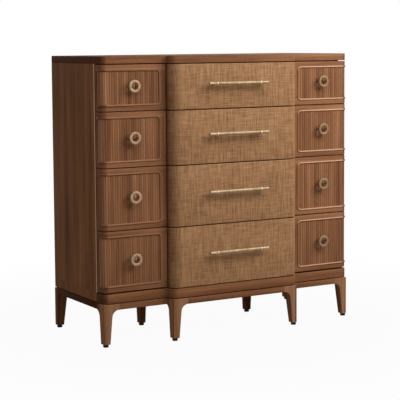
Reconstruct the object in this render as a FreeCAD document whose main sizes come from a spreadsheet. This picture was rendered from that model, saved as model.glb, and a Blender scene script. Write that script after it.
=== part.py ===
import FreeCAD, Part
import math
import os
from types import SimpleNamespace

import Sketcher

# Gentleman's chest with three columns of four drawers and a breakfront centre.
# Millimetres, +Z up, -Y to the front, origin on the floor under the middle of the whole chest.
# Everything is drawn for the right side and mirrored to the left.

SIZES = {
    # Case
    "overall_width": 1270.0,
    "case_depth": 547.0,
    "centre_width": 646.0,
    "breakfront_step": 45.0,
    "corner_radius": 27.0,
    "top_thickness": 31.5,
    "panel_thickness": 22.0,
    "panel_round": 10.0,
    "back_thickness": 8.0,
    "rail_thickness": 20.0,
    "rail_depth": 60.0,
    "runner_width": 25.0,
    # Drawer rows, from the top down
    "row_height_1": 199.5,
    "row_height_2": 238.5,
    "row_height_3": 267.0,
    "row_height_4": 267.0,
    "front_gap": 4.0,
    "column_gap": 3.5,
    # Plinth
    "plinth_height": 40.0,
    "plinth_thickness": 22.0,
    "plinth_proud": 1.5,
    "plinth_gap": 1.5,
    # Shadow gap between the case and the leg frame
    "reveal_height": 4.0,
    "reveal_depth": 8.0,
    # Leg frame
    "leg_clear": 157.5,
    "apron_height": 25.5,
    "apron_thickness": 22.0,
    "frame_proud": 3.0,
    "leg_top_width": 46.5,
    "leg_foot_width": 31.0,
    "leg_wing": 75.0,
    "leg_corner_radius": 27.0,
    "rear_corner_radius": 4.0,
    "knee_radius": 32.0,
    "rear_knee_radius": 3.0,
    "inner_leg_spacing": 571.0,
    "inner_leg_setback": 174.0,
    "inner_leg_top_width": 38.0,
    "inner_leg_foot_width": 29.0,
    "glide_height": 12.0,
    "glide_diameter": 20.0,
    # Drawer fronts
    "front_thickness": 20.0,
    "front_clearance": 2.0,
    "side_foot_gap": 3.0,
    "return_gap": 11.0,
    "bead_inset": 24.0,
    "bead_inner_inset": 31.0,
    "bead_end_inset": 11.0,
    "bead_return_run": 2.0,
    "bead_width": 8.0,
    "bead_corner_radius": 16.0,
    "reed_pitch": 11.0,
    "reed_depth": 2.5,
    "reed_flat": 0.45,
    "reed_recess": 0.6,
    "reed_margin": 0.5,
    # Ring knobs
    "knob_spread": 975.0,
    "knob_rise": 6.4,
    "ring_diameter": 55.0,
    "ring_bore": 33.0,
    "ring_depth": 11.0,
    "ring_bevel": 3.0,
    "ring_standoff": 19.0,
    "ring_post_diameter": 7.0,
    # Bar pulls
    "bar_length": 304.0,
    "bar_diameter": 13.0,
    "bar_standoff": 26.0,
    "bar_rise": 12.0,
    "bar_post_spacing": 224.0,
    "bar_post_diameter": 9.0,
    "bar_collar_diameter": 17.0,
    "bar_collar_width": 8.0,
    # Drawer boxes
    "box_thickness": 12.0,
    "box_bottom_thickness": 8.0,
    "box_bottom_rise": 10.0,
    "box_side_clearance": 2.0,
    "box_top_clearance": 6.0,
    "box_rear_gap": 30.0,
    "running_clearance": 0.3,
}
# Flats that stand for a full circle, or for a quarter turn of the bead
RING_FLATS = 24
ROD_FLATS = 16
POST_FLATS = 12
BEND_FLATS = 5


class Dim:
    """A length that carries both its number and the sheet expression behind it."""

    def __init__(self, text, value):
        self.text = text
        self.value = value

    @staticmethod
    def of(other):
        return other if isinstance(other, Dim) else Dim(repr(float(other)), float(other))

    def joined(self, sign, other, value):
        return Dim(f"({self.text} {sign} {other.text})", value)

    def __add__(self, other):
        other = Dim.of(other)
        return self.joined("+", other, self.value + other.value)

    def __sub__(self, other):
        other = Dim.of(other)
        return self.joined("-", other, self.value - other.value)

    def __mul__(self, other):
        other = Dim.of(other)
        return self.joined("*", other, self.value * other.value)

    def __truediv__(self, other):
        other = Dim.of(other)
        return self.joined("/", other, self.value / other.value)

    def __neg__(self):
        return self * -1


doc = FreeCAD.newDocument("gentlemans_chest")
sheet = doc.addObject("Spreadsheet::Sheet", "Sizes")
for row, (alias, number) in enumerate(SIZES.items(), start=1):
    sheet.set(f"A{row}", alias)
    sheet.set(f"B{row}", str(number))
    sheet.setAlias(f"B{row}", alias)
doc.recompute()
size = SimpleNamespace(**{alias: Dim(f"Sizes.{alias}", float(sheet.get(alias))) for alias in SIZES})
ZERO = Dim.of(0)
nodes = []

# Places shared by several pieces

half_width = size.overall_width / 2
half_centre = size.centre_width / 2
bar_reach = size.bar_standoff + size.bar_collar_diameter / 2
centre_face = (bar_reach - size.case_depth) / 2
side_face = centre_face + size.breakfront_step
back_face = centre_face + size.case_depth
back_inside = back_face - size.back_thickness
bead_return = size.bead_return_run + size.bead_corner_radius
return_end = side_face + size.corner_radius + bead_return + size.bead_end_inset
panel_edge = return_end + size.return_gap
panel_inside = half_width - size.panel_thickness
column_line = half_centre + size.column_gap / 2
partition_near = column_line - size.panel_thickness / 2
partition_far = column_line + size.panel_thickness / 2
partition_edge = side_face + size.front_thickness + size.front_clearance
frame_top = size.leg_clear + size.apron_height
case_base = frame_top + size.reveal_height
plinth_top = case_base + size.plinth_height

# Lines between the drawer rows, from the plinth up to the top slab
row_lines = [plinth_top + size.plinth_gap]
for row_height in (size.row_height_4, size.row_height_3, size.row_height_2, size.row_height_1):
    row_lines.append(row_lines[-1] + row_height)
case_top = row_lines[-1] + size.front_gap / 2
half_rail = size.rail_thickness / 2
floor_low = row_lines[0] - half_rail
floor_top = row_lines[0] + half_rail
ROWS = (1, 2, 3, 4)


def row_span(row):
    """The lines below and above a drawer row, counted from the top."""
    return row_lines[4 - row], row_lines[5 - row]


# Small tools for making pieces

def bind(thing, setting, dim):
    thing.setExpression(setting, dim.text)


def keep(piece, label):
    """Marks a finished piece as a node with its own name."""
    piece.Label = label
    nodes.append(piece)
    return piece


def block(name, x, y, z):
    """A board between a low and a high face along each axis."""
    box = doc.addObject("Part::Box", name)
    for edge, axis, (low, high) in (("Length", "x", x), ("Width", "y", y), ("Height", "z", z)):
        bind(box, edge, high - low)
        bind(box, f"Placement.Base.{axis}", low)
    return box


def group(name, pieces):
    compound = doc.addObject("Part::Compound", name)
    compound.Links = pieces
    return compound


def mirror(name, source):
    """The left-hand twin of a right-hand piece."""
    twin = doc.addObject("Part::Mirroring", name)
    twin.Source = source
    twin.Normal = FreeCAD.Vector(1, 0, 0)
    return twin


def pair(name, source):
    return group(name, [source, mirror(f"{name}_twin", source)])


def new_sketch(body, name, role, offset=ZERO):
    """A sketch on one of the body's own origin planes, moved along its normal."""
    plane = next(part for part in body.Origin.OriginFeatures if part.Role == role)
    sketch = body.newObject("Sketcher::SketchObject", name)
    sketch.AttachmentSupport = [(plane, "")]
    sketch.MapMode = "FlatFace"
    bind(sketch, "AttachmentOffset.Base.z", offset)
    return sketch


def pin_point(sketch, curve, point, place):
    """Ties one point of a sketch to a place measured from the sketch origin."""
    for kind, axis, dim in (("DistanceX", -2, place[0]), ("DistanceY", -1, place[1])):
        if dim is ZERO:
            sketch.addConstraint(Sketcher.Constraint("PointOnObject", curve, point, axis))
        else:
            index = sketch.addConstraint(Sketcher.Constraint(kind, -1, 1, curve, point, dim.value))
            bind(sketch, f"Constraints[{index}]", dim)


def polygon(body, name, role, loops, offset=ZERO):
    """A sketch of closed loops of straight lines, each loop through its own corners."""
    sketch = new_sketch(body, name, role, offset)
    first = 0
    for corners in loops:
        spots = [FreeCAD.Vector(u.value, v.value, 0) for u, v in corners]
        for here, there in zip(spots, spots[1:] + spots[:1]):
            sketch.addGeometry(Part.LineSegment(here, there), False)
        for index, corner in enumerate(corners):
            following = first + (index + 1) % len(corners)
            sketch.addConstraint(Sketcher.Constraint("Coincident", first + index, 2, following, 1))
            pin_point(sketch, first + index, 1, corner)
        first += len(corners)
    return sketch


def regular(x, y, diameter, sides):
    """Corners of a regular polygon about a centre, which stands for a circle."""
    radius = diameter / 2
    angles = [math.tau * (corner + 0.5) / sides for corner in range(sides)]
    return [(x + radius * math.cos(angle), y + radius * math.sin(angle)) for angle in angles]


def pad(body, name, sketch, length, reverse=False):
    feature = body.newObject("PartDesign::Pad", name)
    feature.Profile = sketch
    feature.Reversed = reverse
    bind(feature, "Length", length)
    return feature


def near(a, b):
    return abs(a - b) < 1e-4


def dress_edges(kind, setting, body, name, base, picked, amount):
    """Rounds or bevels the straight edges of the last feature that picked() chooses."""
    doc.recompute()
    names = [f"Edge{index}" for index, edge in enumerate(base.Shape.Edges, start=1)
             if len(edge.Vertexes) == 2 and picked(*(vertex.Point for vertex in edge.Vertexes))]
    if not names:
        raise RuntimeError(f"{name}: no edge to work on")
    feature = body.newObject(kind, name)
    feature.Base = (base, names)
    bind(feature, setting, amount)
    return feature


def round_edges(body, name, base, picked, radius):
    return dress_edges("PartDesign::Fillet", "Radius", body, name, base, picked, radius)


def bevel_edges(body, name, base, picked, width):
    return dress_edges("PartDesign::Chamfer", "Size", body, name, base, picked, width)


def upright_at(*places):
    """Picks edges that stand upright at the given places of the plan."""
    spots = [(x.value, y.value) for x, y in places]

    def picked(a, b):
        return any(near(a.x, x) and near(b.x, x) and near(a.y, y) and near(b.y, y) for x, y in spots)
    return picked


def breakfront_board(label, inset, z):
    """A full board with the breakfront outline of the case, drawn in by an inset all round."""
    right = [(half_centre - inset, centre_face + inset), (half_centre - inset, side_face + inset),
             (half_width - inset, side_face + inset), (half_width - inset, back_face - inset)]
    left = [(-x, y) for x, y in reversed(right)]
    rounded = [right[0], right[2], left[1], left[3]]
    return plan_board(label, right + left, rounded, size.corner_radius - inset, z)


def plan_board(label, corners, rounded, radius, z):
    """A board cut to a plan outline, with some of its upright corners rounded."""
    body = doc.addObject("PartDesign::Body", label)
    outline = polygon(body, f"{label}_plan", "XY_Plane", [corners], z[0])
    board = pad(body, f"{label}_board", outline, z[1] - z[0])
    round_edges(body, f"{label}_corners", board, upright_at(*rounded), radius)
    return body


# Case

def make_top():
    """One slab, flush with the case, with four rounded front corners."""
    slab = breakfront_board("slab", ZERO, (case_top, case_top + size.top_thickness))
    keep(slab, "top_slab")


def make_case():
    """Side panels with a rounded front edge, notched for the plinth, and plain boards between them.

    The case stands on a thin base board that is drawn in to leave a shadow gap over the leg frame.
    """
    side = doc.addObject("PartDesign::Body", "side_panel")
    notch = panel_edge + size.panel_round
    corners = [(notch, case_base), (back_face, case_base), (back_face, case_top), (panel_edge, case_top),
               (panel_edge, plinth_top), (notch, plinth_top)]
    elevation = polygon(side, "side_elevation", "YZ_Plane", [corners], half_width)
    board = pad(side, "side_board", elevation, size.panel_thickness, reverse=True)
    round_edges(side, "side_round", board, upright_at((half_width, panel_edge)), size.panel_round)
    keep(side, "right_side_panel")
    keep(mirror("side_panel_twin", side), "left_side_panel")
    wall = block("partition", (partition_near, partition_far), (partition_edge, back_inside),
                 (floor_top, case_top))
    keep(wall, "right_partition")
    keep(mirror("partition_twin", wall), "left_partition")
    floor = block("floor_board", (-panel_inside, panel_inside), (partition_edge, back_inside),
                  (floor_low, floor_top))
    base = breakfront_board("base_board", size.reveal_depth, (frame_top, case_base))
    keep(group("bottom_boards", [floor, base]), "case_bottom")
    back = block("back_board", (-panel_inside, panel_inside), (back_inside, back_face),
                 (case_base, case_top))
    keep(back, "back_panel")


def make_rails():
    """Front and back rails between the rows, with a runner along each wall of a bay."""
    bays = {"left": (-panel_inside, -partition_far), "centre": (-partition_near, partition_near),
            "right": (partition_far, panel_inside)}
    front_rail = (partition_edge, partition_edge + size.rail_depth)
    back_rail = (back_inside - size.rail_depth, back_inside)
    between = (front_rail[1], back_rail[0])
    rails = []
    runners = []
    for bay, (low, high) in bays.items():
        for line_number, line in enumerate(row_lines[1:4], start=1):
            z = (line - half_rail, line + half_rail)
            name = f"{bay}_{line_number}"
            rails.append(block(f"front_rail_{name}", (low, high), front_rail, z))
            rails.append(block(f"back_rail_{name}", (low, high), back_rail, z))
            runners.append(block(f"runner_low_{name}", (low, low + size.runner_width), between, z))
            runners.append(block(f"runner_high_{name}", (high - size.runner_width, high), between, z))
    keep(group("rails", rails), "divider_rails")
    keep(group("runners", runners), "drawer_runners")


def make_plinth():
    """A centre board with two returns, and a board with one return under each side column."""
    proud = size.plinth_proud
    thick = size.plinth_thickness
    z = (case_base, plinth_top)
    outer = half_centre + proud
    front = centre_face - proud
    rear = partition_edge
    centre_half = [(outer, front), (outer, rear), (outer - thick, rear), (outer - thick, front + thick)]
    centre = plan_board("plinth_centre",
                        centre_half + [(-x, y) for x, y in reversed(centre_half)],
                        [centre_half[0], (-outer, front)], size.corner_radius + proud, z)
    end = half_width + proud
    face = side_face - proud
    side_rear = panel_edge + size.panel_round
    corners = [(outer, face), (end, face), (end, side_rear), (end - thick, side_rear),
               (end - thick, face + thick), (outer, face + thick)]
    side = plan_board("plinth_side", corners, [(end, face)], size.corner_radius + proud, z)
    keep(group("plinth_boards", [centre, side, mirror("plinth_side_twin", side)]), "plinth")


# Leg frame

def taper_at(z):
    """Width of a leg's taper at a height, from its foot to the top of the frame."""
    climb = (z - size.glide_height) / (frame_top - size.glide_height)
    return size.leg_foot_width + (size.leg_top_width - size.leg_foot_width) * climb


def corner_leg(label, x, y, inward, corner_radius, knee_radius):
    """A tapered post with a bracket wing and a knee curve along each of its two aprons.

    x and y are the outer faces. inward is +1 where the case lies behind the leg, and -1 where it
    lies in front.
    """
    body = doc.addObject("PartDesign::Body", label)
    foot = size.leg_foot_width
    knee = taper_at(size.leg_clear)
    thick = size.apron_thickness

    def elevation(start, toward):
        reach = ((ZERO, frame_top), (ZERO, size.glide_height), (foot, size.glide_height),
                 (knee, size.leg_clear), (size.leg_wing, size.leg_clear), (size.leg_wing, frame_top))
        return [(start + step * toward, z) for step, z in reach]

    front = polygon(body, f"{label}_front_elevation", "XZ_Plane", [elevation(x, -1)], -y)
    board = pad(body, f"{label}_front_wing", front, thick, reverse=inward > 0)
    knee_x = (x - knee).value

    def front_knee(a, b):
        return all(near(p.x, knee_x) and near(p.z, size.leg_clear.value) for p in (a, b))
    round_edges(body, f"{label}_front_knee", board, front_knee, knee_radius)

    side = polygon(body, f"{label}_side_elevation", "YZ_Plane", [elevation(y, inward)], x)
    board = pad(body, f"{label}_side_wing", side, thick, reverse=True)
    knee_y = (y + knee * inward).value

    def side_knee(a, b):
        return all(near(p.y, knee_y) and near(p.z, size.leg_clear.value) for p in (a, b))
    round_edges(body, f"{label}_side_knee", board, side_knee, knee_radius)

    sections = []
    for level, z, width in (("top", frame_top, size.leg_top_width), ("foot", size.glide_height, foot)):
        far_x = x - width
        far_y = y + width * inward
        square = [(x, y), (x, far_y), (far_x, far_y), (far_x, y)]
        sections.append(polygon(body, f"{label}_{level}", "XY_Plane", [square], z))
    post = body.newObject("PartDesign::AdditiveLoft", f"{label}_post")
    post.Profile = sections[0]
    post.Sections = [sections[1]]
    post.Ruled = True
    round_edges(body, f"{label}_corner", post, upright_at((x, y)), corner_radius)
    return body


def tapered_post(name, x, y, foot, top, z):
    """A square post about an upright line, tapered evenly from its top to its foot."""
    post = doc.addObject("Part::Wedge", name)
    for level, width in (("", foot), ("2", top)):
        for axis in "XZ":
            bind(post, f"{axis}{level}min", -width / 2)
            bind(post, f"{axis}{level}max", width / 2)
    bind(post, "Ymin", ZERO)
    bind(post, "Ymax", z[1] - z[0])
    post.Placement.Rotation = FreeCAD.Rotation(FreeCAD.Vector(1, 0, 0), 90)
    for axis, dim in (("x", x), ("y", y), ("z", z[0])):
        bind(post, f"Placement.Base.{axis}", dim)
    return post


def make_leg_frame():
    """Corner legs, breakfront legs, inner legs, the rails that join them, and glides under all."""
    proud = size.frame_proud
    outer = half_width + proud
    step_outer = half_centre + proud
    front = centre_face - proud
    side_front = side_face - proud
    rounding = (size.leg_corner_radius, size.knee_radius)
    corner = corner_leg("front_corner_leg", outer, side_front, 1, *rounding)
    keep(pair("front_corner_pair", corner), "front_corner_legs")
    breakfront = corner_leg("breakfront_leg", step_outer, front, 1, *rounding)
    keep(pair("breakfront_pair", breakfront), "breakfront_legs")
    rear = corner_leg("rear_corner_leg", outer, back_face, -1, size.rear_corner_radius, size.rear_knee_radius)
    keep(pair("rear_corner_pair", rear), "rear_corner_legs")

    inner_x = size.inner_leg_spacing / 2
    inner_y = back_face - size.inner_leg_setback
    inner = tapered_post("inner_leg", inner_x, inner_y, size.inner_leg_foot_width, size.inner_leg_top_width,
                         (size.glide_height, size.leg_clear))
    keep(pair("inner_pair", inner), "inner_legs")

    z = (size.leg_clear, frame_top)
    thick = size.apron_thickness
    wing = size.leg_wing
    half_cross = size.inner_leg_top_width / 2
    cross_x = (inner_x - half_cross, inner_x + half_cross)
    stretcher_y = (front + wing, front + wing + thick)
    sides = [block("front_apron_side", (step_outer, outer - wing), (side_front, side_front + thick), z),
             block("end_apron", (outer - thick, outer), (side_front + wing, back_face - wing), z),
             block("cross_rail", cross_x, (stretcher_y[1], back_face - thick), z),
             block("case_bearer", cross_x, (partition_edge, back_inside), (case_base, floor_low))]
    rails = [block("front_apron_centre", (wing - step_outer, step_outer - wing), (front, front + thick), z),
             block("stretcher", (-step_outer, step_outer), stretcher_y, z),
             block("back_apron", (wing - outer, outer - wing), (back_face - thick, back_face), z)]
    rails += sides + [mirror(f"{rail.Name}_twin", rail) for rail in sides]
    keep(group("frame_rails", rails), "leg_frame_rails")

    half_foot = size.leg_foot_width / 2
    feet = [(outer - half_foot, side_front + half_foot), (step_outer - half_foot, front + half_foot),
            (outer - half_foot, back_face - half_foot), (inner_x, inner_y)]
    glides = []
    for number, (x, y) in enumerate(feet, start=1):
        glide = doc.addObject("Part::Prism", f"glide_{number}")
        glide.Polygon = ROD_FLATS
        bind(glide, "Circumradius", size.glide_diameter / 2)
        bind(glide, "Height", size.glide_height)
        bind(glide, "Placement.Base.x", x)
        bind(glide, "Placement.Base.y", y)
        glides += [glide, mirror(f"glide_{number}_twin", glide)]
    keep(group("glides", glides), "levelling_glides")


# Reeded fronts of the side columns

front_inner = half_centre + size.column_gap
bead_half = size.bead_width / 2
UP = FreeCAD.Vector(0, 0, 1)


def front_span(row):
    low, high = row_span(row)
    return low + size.front_gap / 2, high - size.front_gap / 2


def side_span(row):
    """Lower and upper edge of a side front. The lowest one clears the plinth by a wider gap."""
    low, high = front_span(row)
    return (low + size.side_foot_gap, high) if row == ROWS[-1] else (low, high)


def wrapped_point(distance, depth):
    """A point on the plan of a side front, reached by walking along its face from the inner edge,
    round the outer corner and back along the return, then stepping in by a depth."""
    radius = size.corner_radius.value
    straight = half_width.value - radius - front_inner.value
    arc = math.pi / 2 * radius
    if distance <= straight:
        return FreeCAD.Vector(front_inner.value + distance, side_face.value + depth, 0)
    centre = FreeCAD.Vector(half_width.value - radius, side_face.value + radius, 0)
    if distance <= straight + arc:
        angle = (distance - straight) / radius
        return centre + FreeCAD.Vector(math.sin(angle), -math.cos(angle), 0) * (radius - depth)
    return FreeCAD.Vector(half_width.value - depth, centre.y + distance - straight - arc, 0)


def reed_hollows(row):
    """The hollow in front of a field of reeds that follows the rounded corner, each reed of three flats."""
    inside = (bead_half + size.reed_margin).value
    radius = size.corner_radius.value
    start = size.bead_inner_inset.value + inside
    bend = half_width.value - radius - front_inner.value
    unbend = bend + math.pi / 2 * radius
    end = unbend + bead_return.value - inside
    count = round((end - start) / size.reed_pitch.value)
    pitch = (end - start) / count
    crest = size.reed_recess.value
    valley = crest + size.reed_depth.value
    outline = []
    for reed in range(count):
        at = start + reed * pitch
        shoulder = (1 - size.reed_flat.value) / 2 * pitch
        outline.append(wrapped_point(at, valley))
        outline.append(wrapped_point(at + shoulder, crest))
        outline.append(wrapped_point(at + pitch - shoulder, crest))
    outline.append(wrapped_point(end, valley))
    clear = -size.bead_width.value
    outline += [wrapped_point(at, clear) for at in (end, unbend, (bend + unbend) / 2, bend, start)]
    low, high = side_span(row)
    base = low.value + size.bead_inset.value + inside
    height = high.value - low.value - 2 * (size.bead_inset.value + inside)
    face = Part.Face(Part.makePolygon(outline + outline[:1]))
    hollows = doc.addObject("Part::Feature", f"reed_hollows_{row}")
    hollows.Shape = face.extrude(UP * height)
    hollows.Placement = FreeCAD.Placement(UP * base, FreeCAD.Rotation())
    return hollows


def bead_frame(row):
    """A bead of three flats that runs round the field, wrapping the rounded corner twice.

    The bead is laid by walking along its line: running straight, turning on the face at the
    corners of the field, and wrapping with the face round the corner of the drawer. Each bend
    gets sections whose flats touch its arc from outside, and flats join each section to the next.
    """
    low, high = side_span(row)
    half = bead_half.value
    turn = size.bead_corner_radius.value
    wrap = size.corner_radius.value
    front_run = (half_width - front_inner - size.corner_radius - size.bead_inner_inset).value - turn
    return_run = size.bead_return_run.value
    rise = (high - low - size.bead_inset * 2).value - 2 * turn
    spot = FreeCAD.Vector((front_inner + size.bead_inner_inset).value + turn, side_face.value,
                          (high - size.bead_inset).value)
    heading = FreeCAD.Vector(1, 0, 0)
    outward = FreeCAD.Vector(0, -1, 0)
    walk = ("run", "wrap", "run", "turn", "run", "turn") * 2
    lengths = (front_run, 1, return_run, 1, rise, 1, return_run, -1, front_run, 1, rise, 1)
    crown = half * math.sin(math.pi / 3)
    corners = ((-half, 0), (-half / 2, crown), (half / 2, crown), (half, 0))
    flat_angle = 90 / BEND_FLATS
    stretch = 1 / math.cos(math.radians(flat_angle / 2))
    sections = []
    for step, amount in zip(walk, lengths):
        if step == "run":
            spot = spot + heading * amount
            continue
        if step == "turn":
            axis = -outward
            centre = spot + axis.cross(heading) * turn
        else:
            axis = UP * amount
            centre = spot - outward * wrap
        across = heading.cross(outward)
        arms = [spot + across * side + outward * lift - centre for side, lift in corners]
        arms = [arm * stretch - axis * (arm.dot(axis) * (stretch - 1)) for arm in arms]
        for flat in range(BEND_FLATS):
            swing = FreeCAD.Rotation(axis, flat_angle * (flat + 0.5))
            sections.append([centre + swing.multVec(arm) for arm in arms])
        swing = FreeCAD.Rotation(axis, 90)
        spot = centre + swing.multVec(spot - centre)
        heading = swing.multVec(heading)
        outward = swing.multVec(outward)
    flats = []
    for here, there in zip(sections, sections[1:] + sections[:1]):
        for corner in range(4):
            after = (corner + 1) % 4
            loop = [here[corner], here[after], there[after], there[corner], here[corner]]
            flats.append(Part.Face(Part.makePolygon(loop)))
    bead = doc.addObject("Part::Feature", f"bead_{row}")
    bead.Shape = Part.makeSolid(Part.makeShell(flats))
    return bead


def ring_knob(row):
    """A ring with a bevelled face that stands off the front on two short posts."""
    label = f"ring_knob_{row}"
    low, high = row_span(row)
    body = doc.addObject("PartDesign::Body", label)
    rims = [regular(ZERO, ZERO, rim, RING_FLATS) for rim in (size.ring_diameter, size.ring_bore)]
    half = size.ring_depth / 2
    outline = polygon(body, f"{label}_outline", "XZ_Plane", rims, half)
    ring = pad(body, f"{label}_ring", outline, size.ring_depth, reverse=True)
    face_y = -half.value
    bevel_edges(body, f"{label}_bevel", ring, lambda a, b: near(a.y, face_y) and near(b.y, face_y),
                size.ring_bevel)
    middle = (size.ring_bore + size.ring_diameter) / 4
    posts = [regular(x, ZERO, size.ring_post_diameter, POST_FLATS) for x in (middle, -middle)]
    feet = polygon(body, f"{label}_feet", "XZ_Plane", posts)
    pad(body, f"{label}_posts", feet, size.ring_standoff + size.reed_recess, reverse=True)
    bind(body, "Placement.Base.x", size.knob_spread / 2)
    bind(body, "Placement.Base.y", side_face - size.ring_standoff)
    bind(body, "Placement.Base.z", (low + high) / 2 + size.knob_rise)
    return body


# Drawers

def drawer_box(name, row, x, front):
    """Two sides, a back and a sub-front round a raised bottom, as butted boards."""
    low, high = row_span(row)
    thick = size.box_thickness
    z = (low + half_rail + size.running_clearance, high - half_rail - size.box_top_clearance)
    y = (front, back_face - size.box_rear_gap)
    inside_x = (x[0] + thick, x[1] - thick)
    inside_y = (y[0] + thick, y[1] - thick)
    shelf = z[0] + size.box_bottom_rise
    boards = [block(f"{name}_near_side", (x[0], inside_x[0]), y, z),
              block(f"{name}_far_side", (inside_x[1], x[1]), y, z),
              block(f"{name}_sub_front", inside_x, (y[0], inside_y[0]), z),
              block(f"{name}_back", inside_x, (inside_y[1], y[1]), z),
              block(f"{name}_bottom", inside_x, inside_y, (shelf, shelf + size.box_bottom_thickness))]
    return group(name, boards)


def make_side_drawer(row):
    """A reeded front with its bead, ring knob and box, on the right and mirrored on the left."""
    thick = size.front_thickness
    outline = [(front_inner, side_face), (half_width, side_face), (half_width, return_end),
               (panel_inside, return_end), (panel_inside, side_face + thick),
               (front_inner, side_face + thick)]
    core = plan_board(f"front_core_{row}", outline, [outline[1]], size.corner_radius, side_span(row))
    front = doc.addObject("Part::Cut", f"reeded_front_{row}")
    front.Base = core
    front.Tool = reed_hollows(row)
    clear = size.box_side_clearance
    box = drawer_box(f"side_box_{row}", row, (partition_far + clear, panel_inside - clear), side_face + thick)
    pieces = {"front": front, "bead": bead_frame(row), "knob": ring_knob(row), "box": box}
    for part, piece in pieces.items():
        keep(piece, f"right_drawer_{row}_{part}")
        keep(mirror(f"{part}_twin_{row}", piece), f"left_drawer_{row}_{part}")


def bar_pull(row):
    """A rod with a collar over each of its two posts."""
    label = f"bar_pull_{row}"
    low, high = row_span(row)
    body = doc.addObject("PartDesign::Body", label)
    rim = [regular(ZERO, ZERO, size.bar_diameter, ROD_FLATS)]
    rod = polygon(body, f"{label}_rod_outline", "YZ_Plane", rim, -size.bar_length / 2)
    pad(body, f"{label}_rod", rod, size.bar_length)
    post = size.bar_post_spacing / 2
    rim = [regular(ZERO, ZERO, size.bar_collar_diameter, ROD_FLATS)]
    for side, place in (("near", -post), ("far", post)):
        outline = polygon(body, f"{label}_{side}_outline", "YZ_Plane", rim, place - size.bar_collar_width / 2)
        pad(body, f"{label}_{side}_collar", outline, size.bar_collar_width)
    posts = [regular(x, ZERO, size.bar_post_diameter, POST_FLATS) for x in (post, -post)]
    feet = polygon(body, f"{label}_feet", "XZ_Plane", posts)
    pad(body, f"{label}_posts", feet, size.bar_standoff, reverse=True)
    bind(body, "Placement.Base.y", centre_face - size.bar_standoff)
    bind(body, "Placement.Base.z", (low + high) / 2 + size.bar_rise)
    return body


def make_centre_drawer(row):
    """A front that wraps both rounded corners and covers the partitions, with its bar pull and box."""
    thick = size.front_thickness
    rear = partition_edge - size.front_clearance
    right = [(half_centre, centre_face), (half_centre, rear), (partition_near, rear),
             (partition_near, centre_face + thick)]
    left = [(-x, y) for x, y in reversed(right)]
    front = plan_board(f"centre_front_{row}", right + left, [right[0], left[3]], size.corner_radius,
                       front_span(row))
    clear = size.box_side_clearance
    x = (clear - partition_near, partition_near - clear)
    keep(front, f"centre_drawer_{row}_front")
    keep(bar_pull(row), f"centre_drawer_{row}_pull")
    keep(drawer_box(f"centre_box_{row}", row, x, centre_face + thick), f"centre_drawer_{row}_box")


make_top()
make_case()
make_rails()
make_plinth()
make_leg_frame()
for row in ROWS:
    make_side_drawer(row)
    make_centre_drawer(row)
doc.recompute()

# Every object is sound before anything is written
for thing in doc.Objects:
    if "Invalid" in thing.State or "Error" in thing.State:
        raise RuntimeError(f"{thing.Label} failed: {thing.State}")
for node in nodes:
    if node.Shape.isNull() or not node.Shape.isValid() or not node.Shape.Solids:
        raise RuntimeError(f"{node.Label} has no sound solid")

os.makedirs("parts", exist_ok=True)
for node in nodes:
    node.Shape.exportStep(f"parts/{node.Label}.step")
    print(node.Label, len(node.Shape.Solids), round(node.Shape.Volume / 1000, 1), "cm3")
print(len(nodes), "nodes")
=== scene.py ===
# %% [markdown]
# # A gentleman's chest
#
# The chest stands on eight tapered legs. It has three columns of four drawers, and the centre column
# steps forward. The side drawers are reeded inside a raised bead, the centre drawers are wrapped in woven
# raffia, and all have brass pulls. We load the solid model first and keep its parts, because everything we
# draw is placed by their boxes.

import math

import bpy
import numpy as np
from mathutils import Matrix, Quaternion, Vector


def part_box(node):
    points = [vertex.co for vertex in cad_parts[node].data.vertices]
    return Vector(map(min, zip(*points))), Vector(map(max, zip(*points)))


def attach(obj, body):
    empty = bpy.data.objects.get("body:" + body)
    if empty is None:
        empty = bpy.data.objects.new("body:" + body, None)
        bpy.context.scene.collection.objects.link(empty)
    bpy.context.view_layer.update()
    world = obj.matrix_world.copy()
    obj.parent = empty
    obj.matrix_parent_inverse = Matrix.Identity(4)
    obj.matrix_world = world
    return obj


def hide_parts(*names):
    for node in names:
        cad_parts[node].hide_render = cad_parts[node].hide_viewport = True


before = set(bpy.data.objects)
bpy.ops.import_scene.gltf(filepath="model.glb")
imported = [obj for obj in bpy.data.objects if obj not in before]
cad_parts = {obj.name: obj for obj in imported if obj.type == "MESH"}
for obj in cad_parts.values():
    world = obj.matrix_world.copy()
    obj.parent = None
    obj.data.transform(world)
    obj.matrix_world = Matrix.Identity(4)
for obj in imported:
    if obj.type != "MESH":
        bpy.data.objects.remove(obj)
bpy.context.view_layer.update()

# %% [markdown]
# ## Where things are
#
# A cabinet maker works from a story stick, one list of marks that every piece is cut to. We could type the
# marks in again, but reading them from the boxes of the solid nodes means that the looks always fit the
# model. Only small sizes that no box shows, such as radii, are written down in the cells, in metres.

# %% Marks on the story stick
def node_box(node):
    """Lowest and highest corner of a solid node as two arrays."""
    low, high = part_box(node)
    return np.array(low), np.array(high)


slab_low, slab_high = node_box("top_slab")
panel_low, panel_high = node_box("right_side_panel")
partition_low, partition_high = node_box("right_partition")
centre_high = node_box("centre_drawer_1_front")[1]
reeded_low, reeded_high = node_box("right_drawer_1_front")
corner_leg_low, corner_leg_high = node_box("front_corner_legs")
step_leg_low, step_leg_high = node_box("breakfront_legs")

half_width, back_face = slab_high[0], slab_high[1]
centre_face, side_face = slab_low[1], reeded_low[1]
half_centre, front_inner = centre_high[0], reeded_low[0]
frame_top, leg_clear = corner_leg_high[2], node_box("leg_frame_rails")[0][2]
plinth_top, glide_height = node_box("plinth")[1][2], node_box("levelling_glides")[1][2]
CORNER_RADIUS = 0.027
FRONT_THICKNESS = 0.020
ROWS = (1, 2, 3, 4)
print("case: %.3f wide, %.3f deep, %.3f tall" % (2 * half_width, back_face - centre_face, slab_high[2]))
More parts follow.
